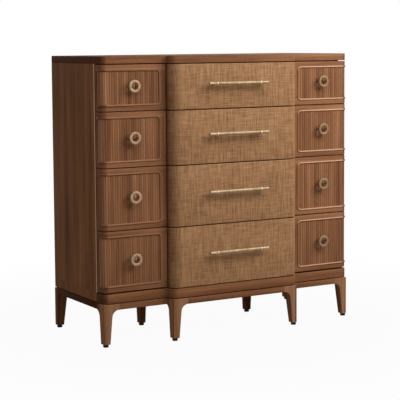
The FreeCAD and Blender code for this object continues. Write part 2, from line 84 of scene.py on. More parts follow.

# %% [markdown]
# ## From arrays to a mesh
#
# Every piece below is a sheet of points in rows and columns, made as whole arrays, that closes into a
# shell. Blender could also build such shapes with its own tools, but with arrays the formula of each
# shape stays in sight. Each face corner also gets a place on an imagined endless sheet of veneer: the first
# number runs along the grain and the second across it. That becomes the UV map that the wood finish reads.
# Each point also has a number that says how pale or dark the finish is there: partly stain and tone,
# partly painted shade and painted highlight.

# %% Shells
VENEER_SEED, VENEER_SPREAD = 11, 9
TWIN_STEP = 3.7
veneer = np.random.default_rng(VENEER_SEED)


class Shell:
    """Points, quads and end caps of a closed surface, with a place on the veneer for each face corner."""

    def __init__(self, points, quads, laid, caps, tone_and_painted_light):
        self.points, self.quads, self.laid = points, quads, laid
        self.caps, self.tone_and_painted_light = caps, tone_and_painted_light

    def volume(self):
        """Sum of the signed tetrahedra from the origin to each triangle of the faces."""
        a, b, c, d = (self.points[self.quads[:, corner]] for corner in range(4))
        total = (a * np.cross(b, c)).sum() + (a * np.cross(c, d)).sum()
        for numbers, _ in self.caps:
            rim = self.points[numbers]
            total += (rim[0] * np.cross(rim[1:-1], rim[2:])).sum()
        return total / 6

    def turned_out(self):
        """The same shell with its faces pointing outwards."""
        if self.volume() >= 0:
            return self
        caps = [(numbers[::-1], laid[::-1]) for numbers, laid in self.caps]
        return Shell(self.points, self.quads[:, ::-1], self.laid[:, ::-1], caps, self.tone_and_painted_light)

    def mirrored(self):
        """The left-hand twin: x changes sign, the faces turn round with it, and the veneer moves on."""
        points, laid = self.points * (-1, 1, 1), self.laid + TWIN_STEP
        return Shell(points, self.quads, laid, self.caps, self.tone_and_painted_light).turned_out()


def corners_of(grid):
    """The four neighbours that make each quad of a grid, row by row."""
    return np.stack([grid[:-1, :-1], grid[1:, :-1], grid[1:, 1:], grid[:-1, 1:]], axis=2)


def close_shell(points, along, across, cap_grain=(0, 1), upright_rows=None, tone_and_painted_light=None):
    """A tube of quads through rows of closed loops, with a cap on its first and last loop.

    points is rows x columns x 3. along and across are rows x (columns + 1): the extra column is the first
    one again, a full turn later. cap_grain names the axes along and across the grain on the caps, and
    upright_rows flags the rows of quads whose grain is turned upright.
    """
    rows, columns = points.shape[:2]
    numbers = np.arange(rows * columns).reshape(rows, columns)
    quads = corners_of(np.hstack([numbers, numbers[:, :1]]))
    laid = corners_of(np.stack([along, across], axis=2)).copy()
    if upright_rows is not None:
        laid[upright_rows] = laid[upright_rows][..., ::-1]
    place = veneer.uniform(0, VENEER_SPREAD, 2)
    flat = points.reshape(-1, 3)
    caps = []
    for ring in (numbers[0][::-1], numbers[-1]):
        caps.append((ring, flat[ring][:, list(cap_grain)] + place))
    if tone_and_painted_light is None:
        tone_and_painted_light = np.zeros((rows, columns))
    laid = laid.reshape(-1, 4, 2) + place
    return Shell(flat, quads.reshape(-1, 4), laid, caps, tone_and_painted_light.reshape(-1)).turned_out()


print("shells ready, veneer seed", VENEER_SEED)

# %% [markdown]
# A piece is one mesh object made of a few shells. It rides on a body of the model, so that it moves with
# its drawer, and it takes the place of the solid nodes that it dresses. Smooth shading with sharp edges
# above an angle is enough here, because the small rounds are real geometry.

# %% Pieces
SHARP_ABOVE = 38


def make_piece(name, shells, finish, body, nodes, crease=SHARP_ABOVE):
    """Joins shells into one mesh object that rides on a body and stands for its solid nodes."""
    starts = np.cumsum([0] + [len(shell.points) for shell in shells])
    points = np.vstack([shell.points for shell in shells])
    faces, laid = [], []
    for shell, start in zip(shells, starts):
        faces += (shell.quads + start).tolist()
        faces += [(numbers + start).tolist() for numbers, _ in shell.caps]
        laid += [shell.laid.reshape(-1, 2)] + [rim for _, rim in shell.caps]
    tone_and_painted_light = np.concatenate([shell.tone_and_painted_light for shell in shells])
    mesh = bpy.data.meshes.new(name)
    mesh.from_pydata(points.tolist(), [], faces)
    veneer_map = mesh.uv_layers.new(name="veneer")
    veneer_map.uv.foreach_set("vector", np.vstack(laid).astype(np.float32).ravel())
    mark = mesh.attributes.new("tone_and_painted_light", "FLOAT", "POINT")
    mark.data.foreach_set("value", tone_and_painted_light.astype(np.float32))
    mesh.polygons.foreach_set("use_smooth", np.ones(len(faces), bool))
    mesh.set_sharp_from_angle(angle=math.radians(crease))
    mesh.materials.append(finish)
    piece = bpy.data.objects.new(name, mesh)
    bpy.context.scene.collection.objects.link(piece)
    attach(piece, body)
    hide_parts(*nodes)
    print(f"{name}: {len(points)} points, {len(faces)} faces")


print("pieces are sharp above", SHARP_ABOVE, "degrees")

# %% [markdown]
# ## Small helpers for finishes
#
# A finish is a network of nodes. Placing nodes by hand is fine in the editor, but in a script one helper
# that makes a node and fills its sockets keeps each finish readable. Colours are written as they look on
# screen and turned into the linear light values that Blender reckons with.

# %% Node helpers
def colour(red, green, blue):
    """A screen colour from 0 to 255 as linear light, with the usual screen curve."""
    screen = np.array([red, green, blue]) / 255
    linear = np.where(screen <= 0.04045, screen / 12.92, ((screen + 0.055) / 1.055) ** 2.4)
    return (*linear.tolist(), 1.0)


def node(tree, kind, sockets=None, **settings):
    """Adds a node, sets its settings, and fills its sockets with links or plain values."""
    made = tree.nodes.new(kind)
    for setting, value in settings.items():
        setattr(made, setting, value)
    for socket, value in (sockets or {}).items():
        if isinstance(value, bpy.types.NodeSocket):
            tree.links.new(value, made.inputs[socket])
        else:
            made.inputs[socket].default_value = value
    return made


def maths(tree, operation, first, second=0.0, third=0.0):
    """One sum on up to three values, named by its operation."""
    return node(tree, "ShaderNodeMath", {0: first, 1: second, 2: third}, operation=operation).outputs[0]


def stretched(tree, vector, scale):
    """A vector times a scale, axis by axis."""
    return node(tree, "ShaderNodeVectorMath", {0: vector, 1: scale}, operation="MULTIPLY").outputs[0]


def cloudy(tree, vector, detail=2.0, distortion=0.0, dimensions="2D"):
    """Noise between 0 and 1 whose clouds are about one unit of the vector wide."""
    sockets = {"Vector": vector, "Scale": 1.0, "Detail": detail, "Distortion": distortion}
    return node(tree, "ShaderNodeTexNoise", sockets, noise_dimensions=dimensions).outputs[0]


def spread(tree, value, low, high, to_low=0.0, to_high=1.0):
    """A straight line through (low, to_low) and (high, to_high), level beyond both."""
    sockets = {0: value, 1: low, 2: high, 3: to_low, 4: to_high}
    return node(tree, "ShaderNodeMapRange", sockets).outputs[0]


def blended(tree, factor, first, second, mode="MIX"):
    """The first colour at factor 0, and the second, or their product, at factor 1."""
    mix = node(tree, "ShaderNodeMix", {0: factor, 6: first, 7: second}, data_type="RGBA", blend_type=mode)
    return mix.outputs[2]


def chosen(tree, factor, first, second):
    """The first number at factor 0 and the second at factor 1."""
    return node(tree, "ShaderNodeMix", {0: factor, 2: first, 3: second}).outputs[0]


def embossed(tree, shader, height, strength, distance):
    """Tilts the shader's normal as if the surface rose by height times distance."""
    sockets = {"Strength": strength, "Distance": distance, "Height": height}
    bump = node(tree, "ShaderNodeBump", sockets)
    tree.links.new(bump.outputs[0], shader.inputs["Normal"])


def new_group(name, inputs, outputs):
    """An empty node group with named sockets, and its input and output nodes."""
    group = bpy.data.node_groups.new(name, "ShaderNodeTree")
    for socket, kind, value in inputs:
        made = group.interface.new_socket(socket, in_out="INPUT", socket_type="NodeSocket" + kind)
        made.default_value = value
    for socket, kind in outputs:
        group.interface.new_socket(socket, in_out="OUTPUT", socket_type="NodeSocket" + kind)
    return group, group.nodes.new("NodeGroupInput").outputs, group.nodes.new("NodeGroupOutput").inputs


def new_finish(name):
    """A material with its tree and its Principled shader."""
    finish = bpy.data.materials.new(name)
    finish.use_nodes = True
    return finish, finish.node_tree, finish.node_tree.nodes["Principled BSDF"]


print("node helpers ready")

# %% [markdown]
# ## Wood grain
#
# The chest is veneered in a straight-grained wood under a brown stain. Straight grain is long streaks of
# several widths: broad bands, fibres, and short dark pores. Each is a cloud of noise that is squeezed
# across the grain and stretched along it. The same grain, in other colours, serves the inside boards and
# the drawer boxes, so it is a group with named sockets.

# %% The grain group
BAND_SCALE, STREAK_SCALE, FIBRE_SCALE = (1.3, 24, 1), (3.5, 130, 1), (16, 900, 1)
TONE_SCALE, PORE_SCALE = (2.2, 5, 1), (60, 1500, 1)
BAND_SHARE, STREAK_SHARE, FIBRE_SHARE, TONE_SHARE = 0.42, 0.30, 0.13, 0.15
PORE_FROM, PORE_FULL = 0.62, 0.72
PORE_STAIN, PORE_ROUGH, PORE_DEPTH = 0.35, 0.15, 0.6
STREAK_ROUGH = 0.18
grain_group, grain_in, grain_out = new_group(
    "straight_grain",
    [("Veneer", "Vector", (0, 0, 0)), ("Dark", "Color", colour(90, 60, 40)),
     ("Light", "Color", colour(150, 110, 75)), ("Contrast", "Float", 1.0), ("Roughness", "Float", 0.4)],
    [("Color", "Color"), ("Roughness", "Float"), ("Height", "Float")])
tree, sheet = grain_group, grain_in["Veneer"]
bands = cloudy(tree, stretched(tree, sheet, BAND_SCALE), 2.0, 0.3)
streaks = cloudy(tree, stretched(tree, sheet, STREAK_SCALE), 3.0, 0.2)
fibres = cloudy(tree, stretched(tree, sheet, FIBRE_SCALE), 2.0)
tone = cloudy(tree, stretched(tree, sheet, TONE_SCALE), 1.0)
pores = spread(tree, cloudy(tree, stretched(tree, sheet, PORE_SCALE), 1.0), PORE_FROM, PORE_FULL)

figure = maths(tree, "MULTIPLY", bands, BAND_SHARE)
for layer, share in ((streaks, STREAK_SHARE), (fibres, FIBRE_SHARE), (tone, TONE_SHARE)):
    figure = maths(tree, "MULTIPLY_ADD", layer, share, figure)
figure = maths(tree, "MULTIPLY_ADD", maths(tree, "SUBTRACT", figure, 0.5), grain_in["Contrast"], 0.5)
figure = spread(tree, figure, 0.30, 0.70)
plain = blended(tree, figure, grain_in["Dark"], grain_in["Light"])
pored = maths(tree, "MULTIPLY", pores, PORE_STAIN)
tree.links.new(blended(tree, pored, plain, grain_in["Dark"], "MULTIPLY"), grain_out["Color"])
uneven = maths(tree, "SUBTRACT", streaks, 0.5)
rough = maths(tree, "MULTIPLY_ADD", uneven, STREAK_ROUGH, grain_in["Roughness"])
tree.links.new(maths(tree, "MULTIPLY_ADD", pores, PORE_ROUGH, rough), grain_out["Roughness"])
height = maths(tree, "MULTIPLY_ADD", fibres, 0.5, maths(tree, "MULTIPLY", streaks, 0.5))
tree.links.new(maths(tree, "MULTIPLY_ADD", pores, -PORE_DEPTH, height), grain_out["Height"])
print("straight_grain:", len(tree.nodes), "nodes")

# %% [markdown]
# ## Stained wood
#
# The outside of the chest has a brown stain that is almost matt. Each point of a piece carries a number
# from -1, pale, to 1, dark, and the finish follows it. That number is partly stain that is darker in
# hollows and an even tone, and partly painted shade and painted highlight, mixed towards a deep stain and a
# bare wood colour. The grain comes from the group, laid by the UV map. Drawer fronts and beads have a
# slightly paler stain, and the beads a thin coat of lacquer, so the finish is made by a function.

# %% The stained finish
DEEP_STAIN_AND_SHADE, BARE_WOOD_AND_HIGHLIGHT = colour(70, 40, 26), colour(218, 178, 146)
STAIN_ROUGHNESS, COAT_ROUGHNESS = 0.45, 0.25
STAIN_RELIEF, GRAIN_DEPTH = 0.12, 0.0004


def grained(tree, shader, laid, dark, light, roughness, relief):
    """Lays the grain group on a shader: sets its roughness and relief, and returns the grain's colour."""
    grain = node(tree, "ShaderNodeGroup", {"Veneer": laid}, node_tree=grain_group)
    for socket, value in (("Dark", dark), ("Light", light), ("Roughness", roughness)):
        grain.inputs[socket].default_value = value
    tree.links.new(grain.outputs["Roughness"], shader.inputs["Roughness"])
    embossed(tree, shader, grain.outputs["Height"], relief, GRAIN_DEPTH)
    return grain.outputs["Color"]


def stained_finish(name, dark_tone, light_tone, specular, coat):
    """Stain over grain, paler or darker by stain and painted light per point, under the shader's own
    lacquer.
    """
    finish, tree, shader = new_finish(name)
    veneer_map = node(tree, "ShaderNodeUVMap", uv_map="veneer").outputs[0]
    grain = grained(tree, shader, veneer_map, dark_tone, light_tone, STAIN_ROUGHNESS, STAIN_RELIEF)
    tone_and_painted_light = node(tree, "ShaderNodeAttribute", attribute_name="tone_and_painted_light").outputs["Fac"]
    dark, pale = spread(tree, tone_and_painted_light, 0, 1), spread(tree, tone_and_painted_light, 0, -1)
    # Towards the deep colour for stain and painted shade, and towards bare wood for painted highlight.
    stain = blended(tree, dark, grain, DEEP_STAIN_AND_SHADE)
    stain = blended(tree, pale, stain, BARE_WOOD_AND_HIGHLIGHT)
    tree.links.new(stain, shader.inputs["Base Color"])
    shader.inputs["Specular IOR Level"].default_value = specular
    shader.inputs["Coat Weight"].default_value = coat
    shader.inputs["Coat Roughness"].default_value = COAT_ROUGHNESS
    return finish


case_dark, case_light = colour(98, 62, 41), colour(158, 109, 75)
front_dark, front_light = colour(106, 69, 47), colour(168, 119, 85)
stained_wood = stained_finish("stained_wood", case_dark, case_light, specular=0.005, coat=0.0)
reeded_wood = stained_finish("reeded_wood", front_dark, front_light, specular=0.008, coat=0.0)
lacquered_bead = stained_finish("lacquered_bead", front_dark, front_light, specular=0.01, coat=0.04)
print("stained_wood:", len(stained_wood.node_tree.nodes), "nodes, and as many for fronts and for beads")

# %% [markdown]
# ## Inside boards and drawer boxes
#
# Plain solid nodes inside the case have no UV map. Their boards lie square to the axes, so the veneer place
# comes from Object coordinates: x + y runs along an upright board of either direction, and on a level face,
# told by its normal, x and y serve as they are.

# %% Finishes of the plain boards
BOARD_RELIEF, BOARD_SPECULAR = 0.15, 0.3


def board_finish(name, dark, light, roughness, upright):
    """Grain laid by Object coordinates, upright or level on the upright faces."""
    finish, tree, shader = new_finish(name)
    place = node(tree, "ShaderNodeTexCoord")
    at = node(tree, "ShaderNodeSeparateXYZ", {0: place.outputs["Object"]}).outputs
    facing = node(tree, "ShaderNodeSeparateXYZ", {0: place.outputs["Normal"]}).outputs[2]
    level = maths(tree, "GREATER_THAN", maths(tree, "ABSOLUTE", facing), 0.5)
    run = maths(tree, "ADD", at[0], at[1])
    order = {0: at[2], 1: run} if upright else {0: run, 1: at[2]}
    wall = node(tree, "ShaderNodeCombineXYZ", order).outputs[0]
    floor = node(tree, "ShaderNodeCombineXYZ", {0: at[0], 1: at[1]}).outputs[0]
    laid = node(tree, "ShaderNodeMix", {0: level, 4: wall, 5: floor}, data_type="VECTOR").outputs[1]
    grain = grained(tree, shader, laid, dark, light, roughness, BOARD_RELIEF)
    tree.links.new(grain, shader.inputs["Base Color"])
    shader.inputs["Specular IOR Level"].default_value = BOARD_SPECULAR
    return finish


inside_dark, inside_light = colour(84, 56, 38), colour(122, 84, 57)
box_dark, box_light = colour(170, 132, 92), colour(208, 174, 130)
inside_upright = board_finish("inside_wood_upright", inside_dark, inside_light, 0.6, upright=True)
inside_level = board_finish("inside_wood_level", inside_dark, inside_light, 0.6, upright=False)
drawer_wood = board_finish("drawer_wood", box_dark, box_light, 0.5, upright=False)
plain_nodes = {name: inside_upright for name in ("left_partition", "right_partition", "back_panel")}
plain_nodes.update({name: inside_level for name in ("case_bottom", "divider_rails", "drawer_runners")})
for column in ("left", "centre", "right"):
    plain_nodes.update({f"{column}_drawer_{row}_box": drawer_wood for row in ROWS})
for name, finish in plain_nodes.items():
    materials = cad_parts[name].data.materials
    materials.clear()
    materials.append(finish)
print("plain boards:", len(plain_nodes), "nodes keep their solid shape")

# %% [markdown]
# ## Boards with eased edges
#
# A maker takes the sharp corner off every board with a few strokes of a plane, and that thin curved edge
# is what catches the light. A bevel modifier could do it, but here it is part of the formula: the plan
# outline of the board is carried up through a few levels, and drawn in along its own normals near the two
# faces.

# %% Outlines and boards
BOARD_EASE = 0.0015
TOO_CLOSE = 1e-7


def rounded_outline(corners, radii, flats=10):
    """A closed plan line through corners, each rounded by an arc.

    An arc of radius r leaves each side at r tan(turn / 2) from the corner.
    """
    corners = np.asarray(corners, float)
    arriving = corners - np.roll(corners, 1, axis=0)
    arriving /= np.linalg.norm(arriving, axis=1, keepdims=True)
    leaving = np.roll(arriving, -1, axis=0)
    pieces = []
    for corner, heading, after, radius in zip(corners, arriving, leaving, radii):
        left = np.array([-heading[1], heading[0]])
        turn = math.atan2(after @ left, after @ heading)
        sweep = np.linspace(0, abs(turn), flats + 1 if radius else 1)[:, None]
        start = corner - heading * radius * math.tan(abs(turn) / 2)
        swung = np.sin(sweep) * heading + (1 - np.cos(sweep)) * left * np.sign(turn)
        pieces.append(start + radius * swung)
    return np.vstack(pieces)


def inward(line):
    """At each point of a closed line, the step that moves both its sides in by one: the sum of the two
    side normals divided by one plus their dot product."""
    sides = np.roll(line, -1, axis=0) - line
    sides /= np.linalg.norm(sides, axis=1, keepdims=True)
    normals = np.stack([-sides[:, 1], sides[:, 0]], axis=1)
    before = np.roll(normals, 1, axis=0)
    return (normals + before) / (1 + (normals * before).sum(axis=1, keepdims=True))


def walked(line):
    """Distance walked along a closed line to each point, and back to the first."""
    closed = np.vstack([line, line[:1]])
    return np.concatenate([[0], np.cumsum(np.linalg.norm(np.diff(closed, axis=0), axis=1))])


def eased_levels(low, high, ease_low, ease_high, steps=3):
    """Levels from low to high with a quarter round at each end: how far in each lies, and how high."""
    turn = np.linspace(0, math.pi / 2, steps + 1)
    inset, lift = 1 - np.sin(turn), 1 - np.cos(turn)
    levels_in = np.concatenate([inset * ease_low, inset[::-1] * ease_high])
    levels_up = np.concatenate([low + lift * ease_low, high - lift[::-1] * ease_high])
    kept = np.concatenate([[True], np.diff(levels_up) > TOO_CLOSE])
    return levels_in[kept], levels_up[kept]


def raised(plan, rise):
    """Plan points, rows x columns x 2, with each row lifted to its own height."""
    lift = np.broadcast_to(rise[:, None, None], plan.shape[:2] + (1,))
    return np.concatenate([plan, lift], axis=2)


def board(outline, low, high, ease_low=BOARD_EASE, ease_high=BOARD_EASE, upright=False, tone_and_painted_light=0.0):
    """A plan outline carried from low to high, drawn in at both ends by its eased edges."""
    levels_in, levels_up = eased_levels(low, high, ease_low, ease_high)
    plan = outline[None] + inward(outline)[None] * levels_in[:, None, None]
    walk = np.broadcast_to(walked(outline), (len(levels_up), len(outline) + 1))
    rise = np.broadcast_to(levels_up[:, None], walk.shape)
    along, across = (rise, walk) if upright else (walk, rise)
    tone_and_painted_light = np.broadcast_to(tone_and_painted_light, plan.shape[:2])
    return close_shell(raised(plan, levels_up), along, across, tone_and_painted_light=tone_and_painted_light)


def rectangle(x, y, ease=BOARD_EASE):
    """A closed rectangle between two x and two y marks, with small rounds at its corners."""
    corners = [(x[0], y[0]), (x[1], y[0]), (x[1], y[1]), (x[0], y[1])]
    return rounded_outline(corners, [ease] * 4, flats=3)


def with_twin(half):
    """Right-hand corners followed by their mirror images, back round the left side."""
    return half + [(-x, y) for x, y in reversed(half)]


print("outline helpers ready")

# %% [markdown]
# ## Top slab
#
# The top is one thick slab that steps forward with the centre column and turns all four front corners in a
# generous round. It is one board with eased edges. Both ends are darker, starting partway round the front
# corners, and painted shade darkens all the edges of the left side column a little more.

# %% Top slab
SLAB_BACK_ROUND = 0.002
END_TONE_AT, END_TONE = [-0.027, -0.017, -0.004, -0.001], [-0.03, 0.35, 0.5, 0.7]
LEFT_END_SHADE = 0.12
slab_half = [(half_centre, centre_face), (half_centre, side_face),
             (half_width, side_face), (half_width, back_face)]
slab_radii = [CORNER_RADIUS, 0, CORNER_RADIUS, SLAB_BACK_ROUND]
slab_line = rounded_outline(with_twin(slab_half), slab_radii + slab_radii[::-1])
end_tone_and_shade = np.interp(np.abs(slab_line[:, 0]) - half_width, END_TONE_AT, END_TONE)
# Painted shade on the edges of the left side column.
end_tone_and_shade = end_tone_and_shade + LEFT_END_SHADE * (slab_line[:, 0] < -half_centre)
slab = board(slab_line, slab_low[2], slab_high[2], tone_and_painted_light=end_tone_and_shade)
make_piece("top_slab_veneered", [slab], stained_wood, "case", ["top_slab"])

# %% [markdown]
# ## Side panels
#
# The side panels are plain upright boards. Their front edge is rounded over. A painted highlight makes the
# round a thin pale line beside the drawers, more so on the left, and painted shade darkens the edge in
# front of it. Below the drawers the panel steps back behind the plinth, so it is two boards. Thin tongues
# on the front edge, painted dark as shade, reach into the gaps between the drawers, so that no background
# shows through.

# %% Side panels
PANEL_ROUND, PANEL_EASE, LOWER_ROUND = 0.006, 0.001, 0.0005
EDGE_LIGHT_AT, EDGE_HIGHLIGHT_AND_SHADE = [0, 0.1, 0.25, 0.6, 0.8, 0.97], [0.7, 0.5, -0.9, -1.1, -0.8, 0.0]
RIGHT_EDGE_HIGHLIGHT = -0.5
TONGUE_CLEAR, TONGUE_SETBACK, TONGUE_INSET = 0.0004, 0.006, 0.004
TONGUE_ROUND, TONGUE_EASE, TONGUE_SHADE = 0.016, 0.0005, 1.0


def panel_board(front, radius, low, high, has_painted_edge):
    """An upright board. On a painted one, painted shade darkens the front edge and a highlight pales its
    round.
    """
    corners = [(panel_low[0], front), (half_width, front),
               (half_width, back_face), (panel_low[0], back_face)]
    line = rounded_outline(corners, [PANEL_EASE, radius, PANEL_EASE, PANEL_EASE], flats=8)
    share = (line[:, 1] - front) / PANEL_ROUND
    wear_and_painted_light = np.interp(share, EDGE_LIGHT_AT, EDGE_HIGHLIGHT_AND_SHADE) * has_painted_edge
    return board(line, low, high, 0, 0, upright=True, tone_and_painted_light=wear_and_painted_light)


def gap_tongue(row):
    """A thin strip on the panel's front edge, painted dark as shade, that reaches into the gap under one
    row.
    """
    low = node_box(f"right_drawer_{row + 1}_front")[1][2] + TONGUE_CLEAR
    high = node_box(f"right_drawer_{row}_front")[0][2] - TONGUE_CLEAR
    inner, outer = panel_low[0] + PANEL_EASE, half_width - TONGUE_INSET
    front, behind = side_face + TONGUE_SETBACK, panel_low[1] + PANEL_ROUND
    corners = [(inner, front), (outer, front), (outer, behind), (inner, behind)]
    plan = rounded_outline(corners, [TONGUE_EASE, TONGUE_ROUND, TONGUE_EASE, TONGUE_EASE], flats=6)
    return board(plan, low, high, 0, 0, tone_and_painted_light=TONGUE_SHADE)


lower_front = panel_low[1] + PANEL_ROUND
side_boards = [panel_board(panel_low[1], PANEL_ROUND, plinth_top, panel_high[2], has_painted_edge=True),
               panel_board(lower_front, LOWER_ROUND, panel_low[2], plinth_top, has_painted_edge=False)]
side_boards += [gap_tongue(row) for row in ROWS[:-1]]
left_boards = [part.mirrored() for part in side_boards]
# The right panel's edge keeps a weaker painted highlight.
side_boards[0].tone_and_painted_light = np.maximum(side_boards[0].tone_and_painted_light, RIGHT_EDGE_HIGHLIGHT)
make_piece("right_side_veneered", side_boards, stained_wood, "case", ["right_side_panel"])
make_piece("left_side_veneered", left_boards, stained_wood, "case", ["left_side_panel"])

# %% [markdown]
# ## Plinth
#
# Under the drawers runs a low plinth, a little proud of the fronts and rounded at the same corners. It is
# three bent boards: one under the centre column with a return on each side, and one under each side
# column, set a hair lower, so that a joint line shows under the lowest drawers. Painted shade darkens the
# side returns.

# %% Plinth boards
PLINTH_PROUD, PLINTH_THICKNESS = 0.0015, 0.022
PLINTH_JOINT, PLINTH_DROP = 0.004, 0.0012
PLINTH_TONE = 0.06
RETURN_SHADE_AT, RETURN_SHADE = [-0.025, -0.017, 0], [PLINTH_TONE, 0.5, 0.8]
step_x, step_y = half_centre + PLINTH_PROUD, centre_face - PLINTH_PROUD
end_x, end_y = half_width + PLINTH_PROUD, side_face - PLINTH_PROUD
inner_step_x, inner_end_x = step_x - PLINTH_THICKNESS, end_x - PLINTH_THICKNESS
inner_step_y, inner_end_y = step_y + PLINTH_THICKNESS, end_y + PLINTH_THICKNESS
rear, side_rear = partition_low[1], panel_low[1] + PANEL_ROUND - PLINTH_JOINT
plinth_radius = CORNER_RADIUS + PLINTH_PROUD
centre_half = [(step_x, step_y), (step_x, rear), (inner_step_x, rear), (inner_step_x, inner_step_y)]
centre_line = rounded_outline(with_twin(centre_half), [plinth_radius, 0, 0, 0, 0, 0, 0, plinth_radius])
side_corners = [(step_x, end_y), (end_x, end_y), (end_x, side_rear),
                (inner_end_x, side_rear), (inner_end_x, inner_end_y), (step_x, inner_end_y)]
side_line = rounded_outline(side_corners, [0, plinth_radius, 0, 0, 0, 0])
# Painted shade on the side returns.
end_shade = np.interp(side_line[:, 0] - end_x, RETURN_SHADE_AT, RETURN_SHADE)
side_board = board(side_line, panel_low[2], plinth_top - PLINTH_DROP, tone_and_painted_light=end_shade)
centre_board = board(centre_line, panel_low[2], plinth_top, tone_and_painted_light=PLINTH_TONE)
make_piece("plinth_veneered", [centre_board, side_board, side_board.mirrored()],
           stained_wood, "case", ["plinth"])

# %% [markdown]
# ## Walking round a corner
#
# Legs, reeded fronts and raffia fronts all wrap one rounded corner. We lay such a face out flat, as a maker
# does with a paper pattern, and bend the pattern round afterwards. The walk is 0 at the middle of the
# bend, and each point also has a depth behind the face.

# %% The bend
def bent(walk, depth, corner, radius):
    """Plan point of a face that runs along +x, turns a quarter round a corner, and runs on along +y.

    The heading is the walk over the radius, held between -45 and 45 degrees about the diagonal. The point
    is the arc's centre, plus the radius less the depth along the outward normal, plus the rest of the walk
    along the heading.
    """
    swing = np.clip(walk / radius, -math.pi / 4, math.pi / 4)
    beyond = walk - swing * radius
    sine, cosine = np.sin(swing + math.pi / 4), np.cos(swing + math.pi / 4)
    x = corner[0] - radius + (radius - depth) * sine + beyond * cosine
    y = corner[1] + radius - (radius - depth) * cosine + beyond * sine
    return np.stack([x, y], axis=-1)


bend_length = math.pi / 2 * CORNER_RADIUS
print("a quarter bend on a radius of %.0f mm is %.1f mm long" % (1e3 * CORNER_RADIUS, 1e3 * bend_length))

# %% [markdown]
# ## Legs
#
# A corner leg is one bracket: a tapered foot whose two faces sweep out in a knee curve into a wing along
# each apron. Laid flat it is a band with a shaped lower edge, the same on both sides of the bend. We draw
# that edge, carry a section of the band along it, bend it round the corner, and fill the inner corner with
# a tapered post. Painted shade darkens the faces that look sideways.

# %% Band and post of a leg
LEG_WING, WING_THICKNESS = 0.075, 0.022
LEG_FOOT, LEG_TOP = 0.031, 0.0465
FRONT_KNEE, REAR_KNEE, REAR_ROUND = 0.032, 0.003, 0.004
POST_INSET, POST_EASE, POST_SHORT = 0.004, 0.002, 0.001
EASE = 0.0012
KNEE_STOPS, FOOT_STOPS = 10, 7
LEG_TONE, SIDE_SHADE, SHADE_RUN = -0.12, 1.0, 0.03
leg_x, leg_y = corner_leg_high[0], corner_leg_low[1]
step_leg_x, step_leg_y = step_leg_high[0], step_leg_low[1]


def leg_edge(radius, knee_radius):
    """Lower edge of half a flattened leg as (walk, height): foot, straight taper, knee arc, level wing."""
    slope = (LEG_TOP - LEG_FOOT) / (frame_top - glide_height)
    knee = LEG_FOOT + slope * (leg_clear - glide_height)
    lean = math.atan(slope)
    trim = knee_radius * math.tan((math.pi / 2 - lean) / 2)
    centre = np.array([knee + trim, leg_clear - knee_radius])
    swing = np.linspace(math.pi - lean, math.pi / 2, KNEE_STOPS)
    arc = centre + knee_radius * np.stack([np.cos(swing), np.sin(swing)], axis=1)
    bend = math.pi / 4 * radius
    foot = np.append(np.linspace(0, bend, FOOT_STOPS) + radius - bend, LEG_FOOT)
    foot = np.column_stack([foot, np.full(len(foot), glide_height)])
    edge = np.vstack([foot, arc, [(LEG_WING, leg_clear)]])
    edge[:, 0] += bend - radius
    return edge


def tapered(lines, heights):
    """A lower and an upper plan line, each at its height, joined by straight sides with upright grain."""
    rise = np.array(heights)
    walk = np.broadcast_to(walked(lines[0]), (2, len(lines[0]) + 1))
    return close_shell(raised(np.stack(lines), rise), np.broadcast_to(rise[:, None], walk.shape), walk)


def leg_post(corner):
    """A tapered post behind a corner: its inner faces lean, its outer ones stand just inside the band."""
    outer_x, outer_y = corner[0] - POST_INSET, corner[1] + POST_INSET
    lines = [rectangle((corner[0] - width, outer_x), (outer_y, corner[1] + width), POST_EASE)
             for width in (LEG_FOOT, LEG_TOP)]
    return tapered(lines, (glide_height, frame_top - POST_SHORT))


def corner_leg(corner, radius, knee_radius):
    """A band section carried along the lower edge and bent round the corner, plus the post behind it."""
    half = leg_edge(radius, knee_radius)
    edge = np.vstack([half[:0:-1] * (-1, 1), half])
    sides = np.diff(edge, axis=0)
    sides /= np.linalg.norm(sides, axis=1, keepdims=True)
    normals = np.stack([-sides[:, 1], sides[:, 0]], axis=1)
    normals = np.vstack([normals[:1], normals[:-1] + normals[1:], normals[-1:]])
    normals /= np.linalg.norm(normals, axis=1, keepdims=True)
    eased = edge + normals * EASE
    top = np.stack([edge[:, 0], np.full(len(edge), frame_top)], axis=1)
    lines = np.stack([eased, top - (0, EASE), top, top, edge, edge], axis=1)
    depths = np.array([0, 0, EASE, WING_THICKNESS, WING_THICKNESS, EASE])
    plan = bent(lines[..., 0], depths[None], corner, radius)
    points = np.concatenate([plan, lines[..., 1:]], axis=2)
    around = np.concatenate([lines[..., 0], lines[:, :1, 0]], axis=1)
    up = np.concatenate([lines[..., 1], lines[:, :1, 1]], axis=1)
    # Painted shade darkens the faces that look sideways, over a short run from the corner.
    shaded = LEG_TONE + SIDE_SHADE * np.clip((lines[..., 0] - radius) / SHADE_RUN, 0, 1)
    band = close_shell(points, up, around, tone_and_painted_light=shaded)
    return [band, leg_post(corner)]


print("leg edge:", len(leg_edge(CORNER_RADIUS, FRONT_KNEE)), "points on each side of the bend")

# %% [markdown]
# The front legs and the legs under the step share one size. A rear leg has the same band on a tight round.
# We could draw it a second time the other way round, but it is simpler to bend it as a front leg at the
# mirrored corner, and turn it to the back by changing the sign of y.

# %% Corner legs
def turned_to_back(shell):
    """The same leg at the back: y changes sign, and the faces turn round with it."""
    points = shell.points * (1, -1, 1)
    return Shell(points, shell.quads, shell.laid, shell.caps, shell.tone_and_painted_light).turned_out()


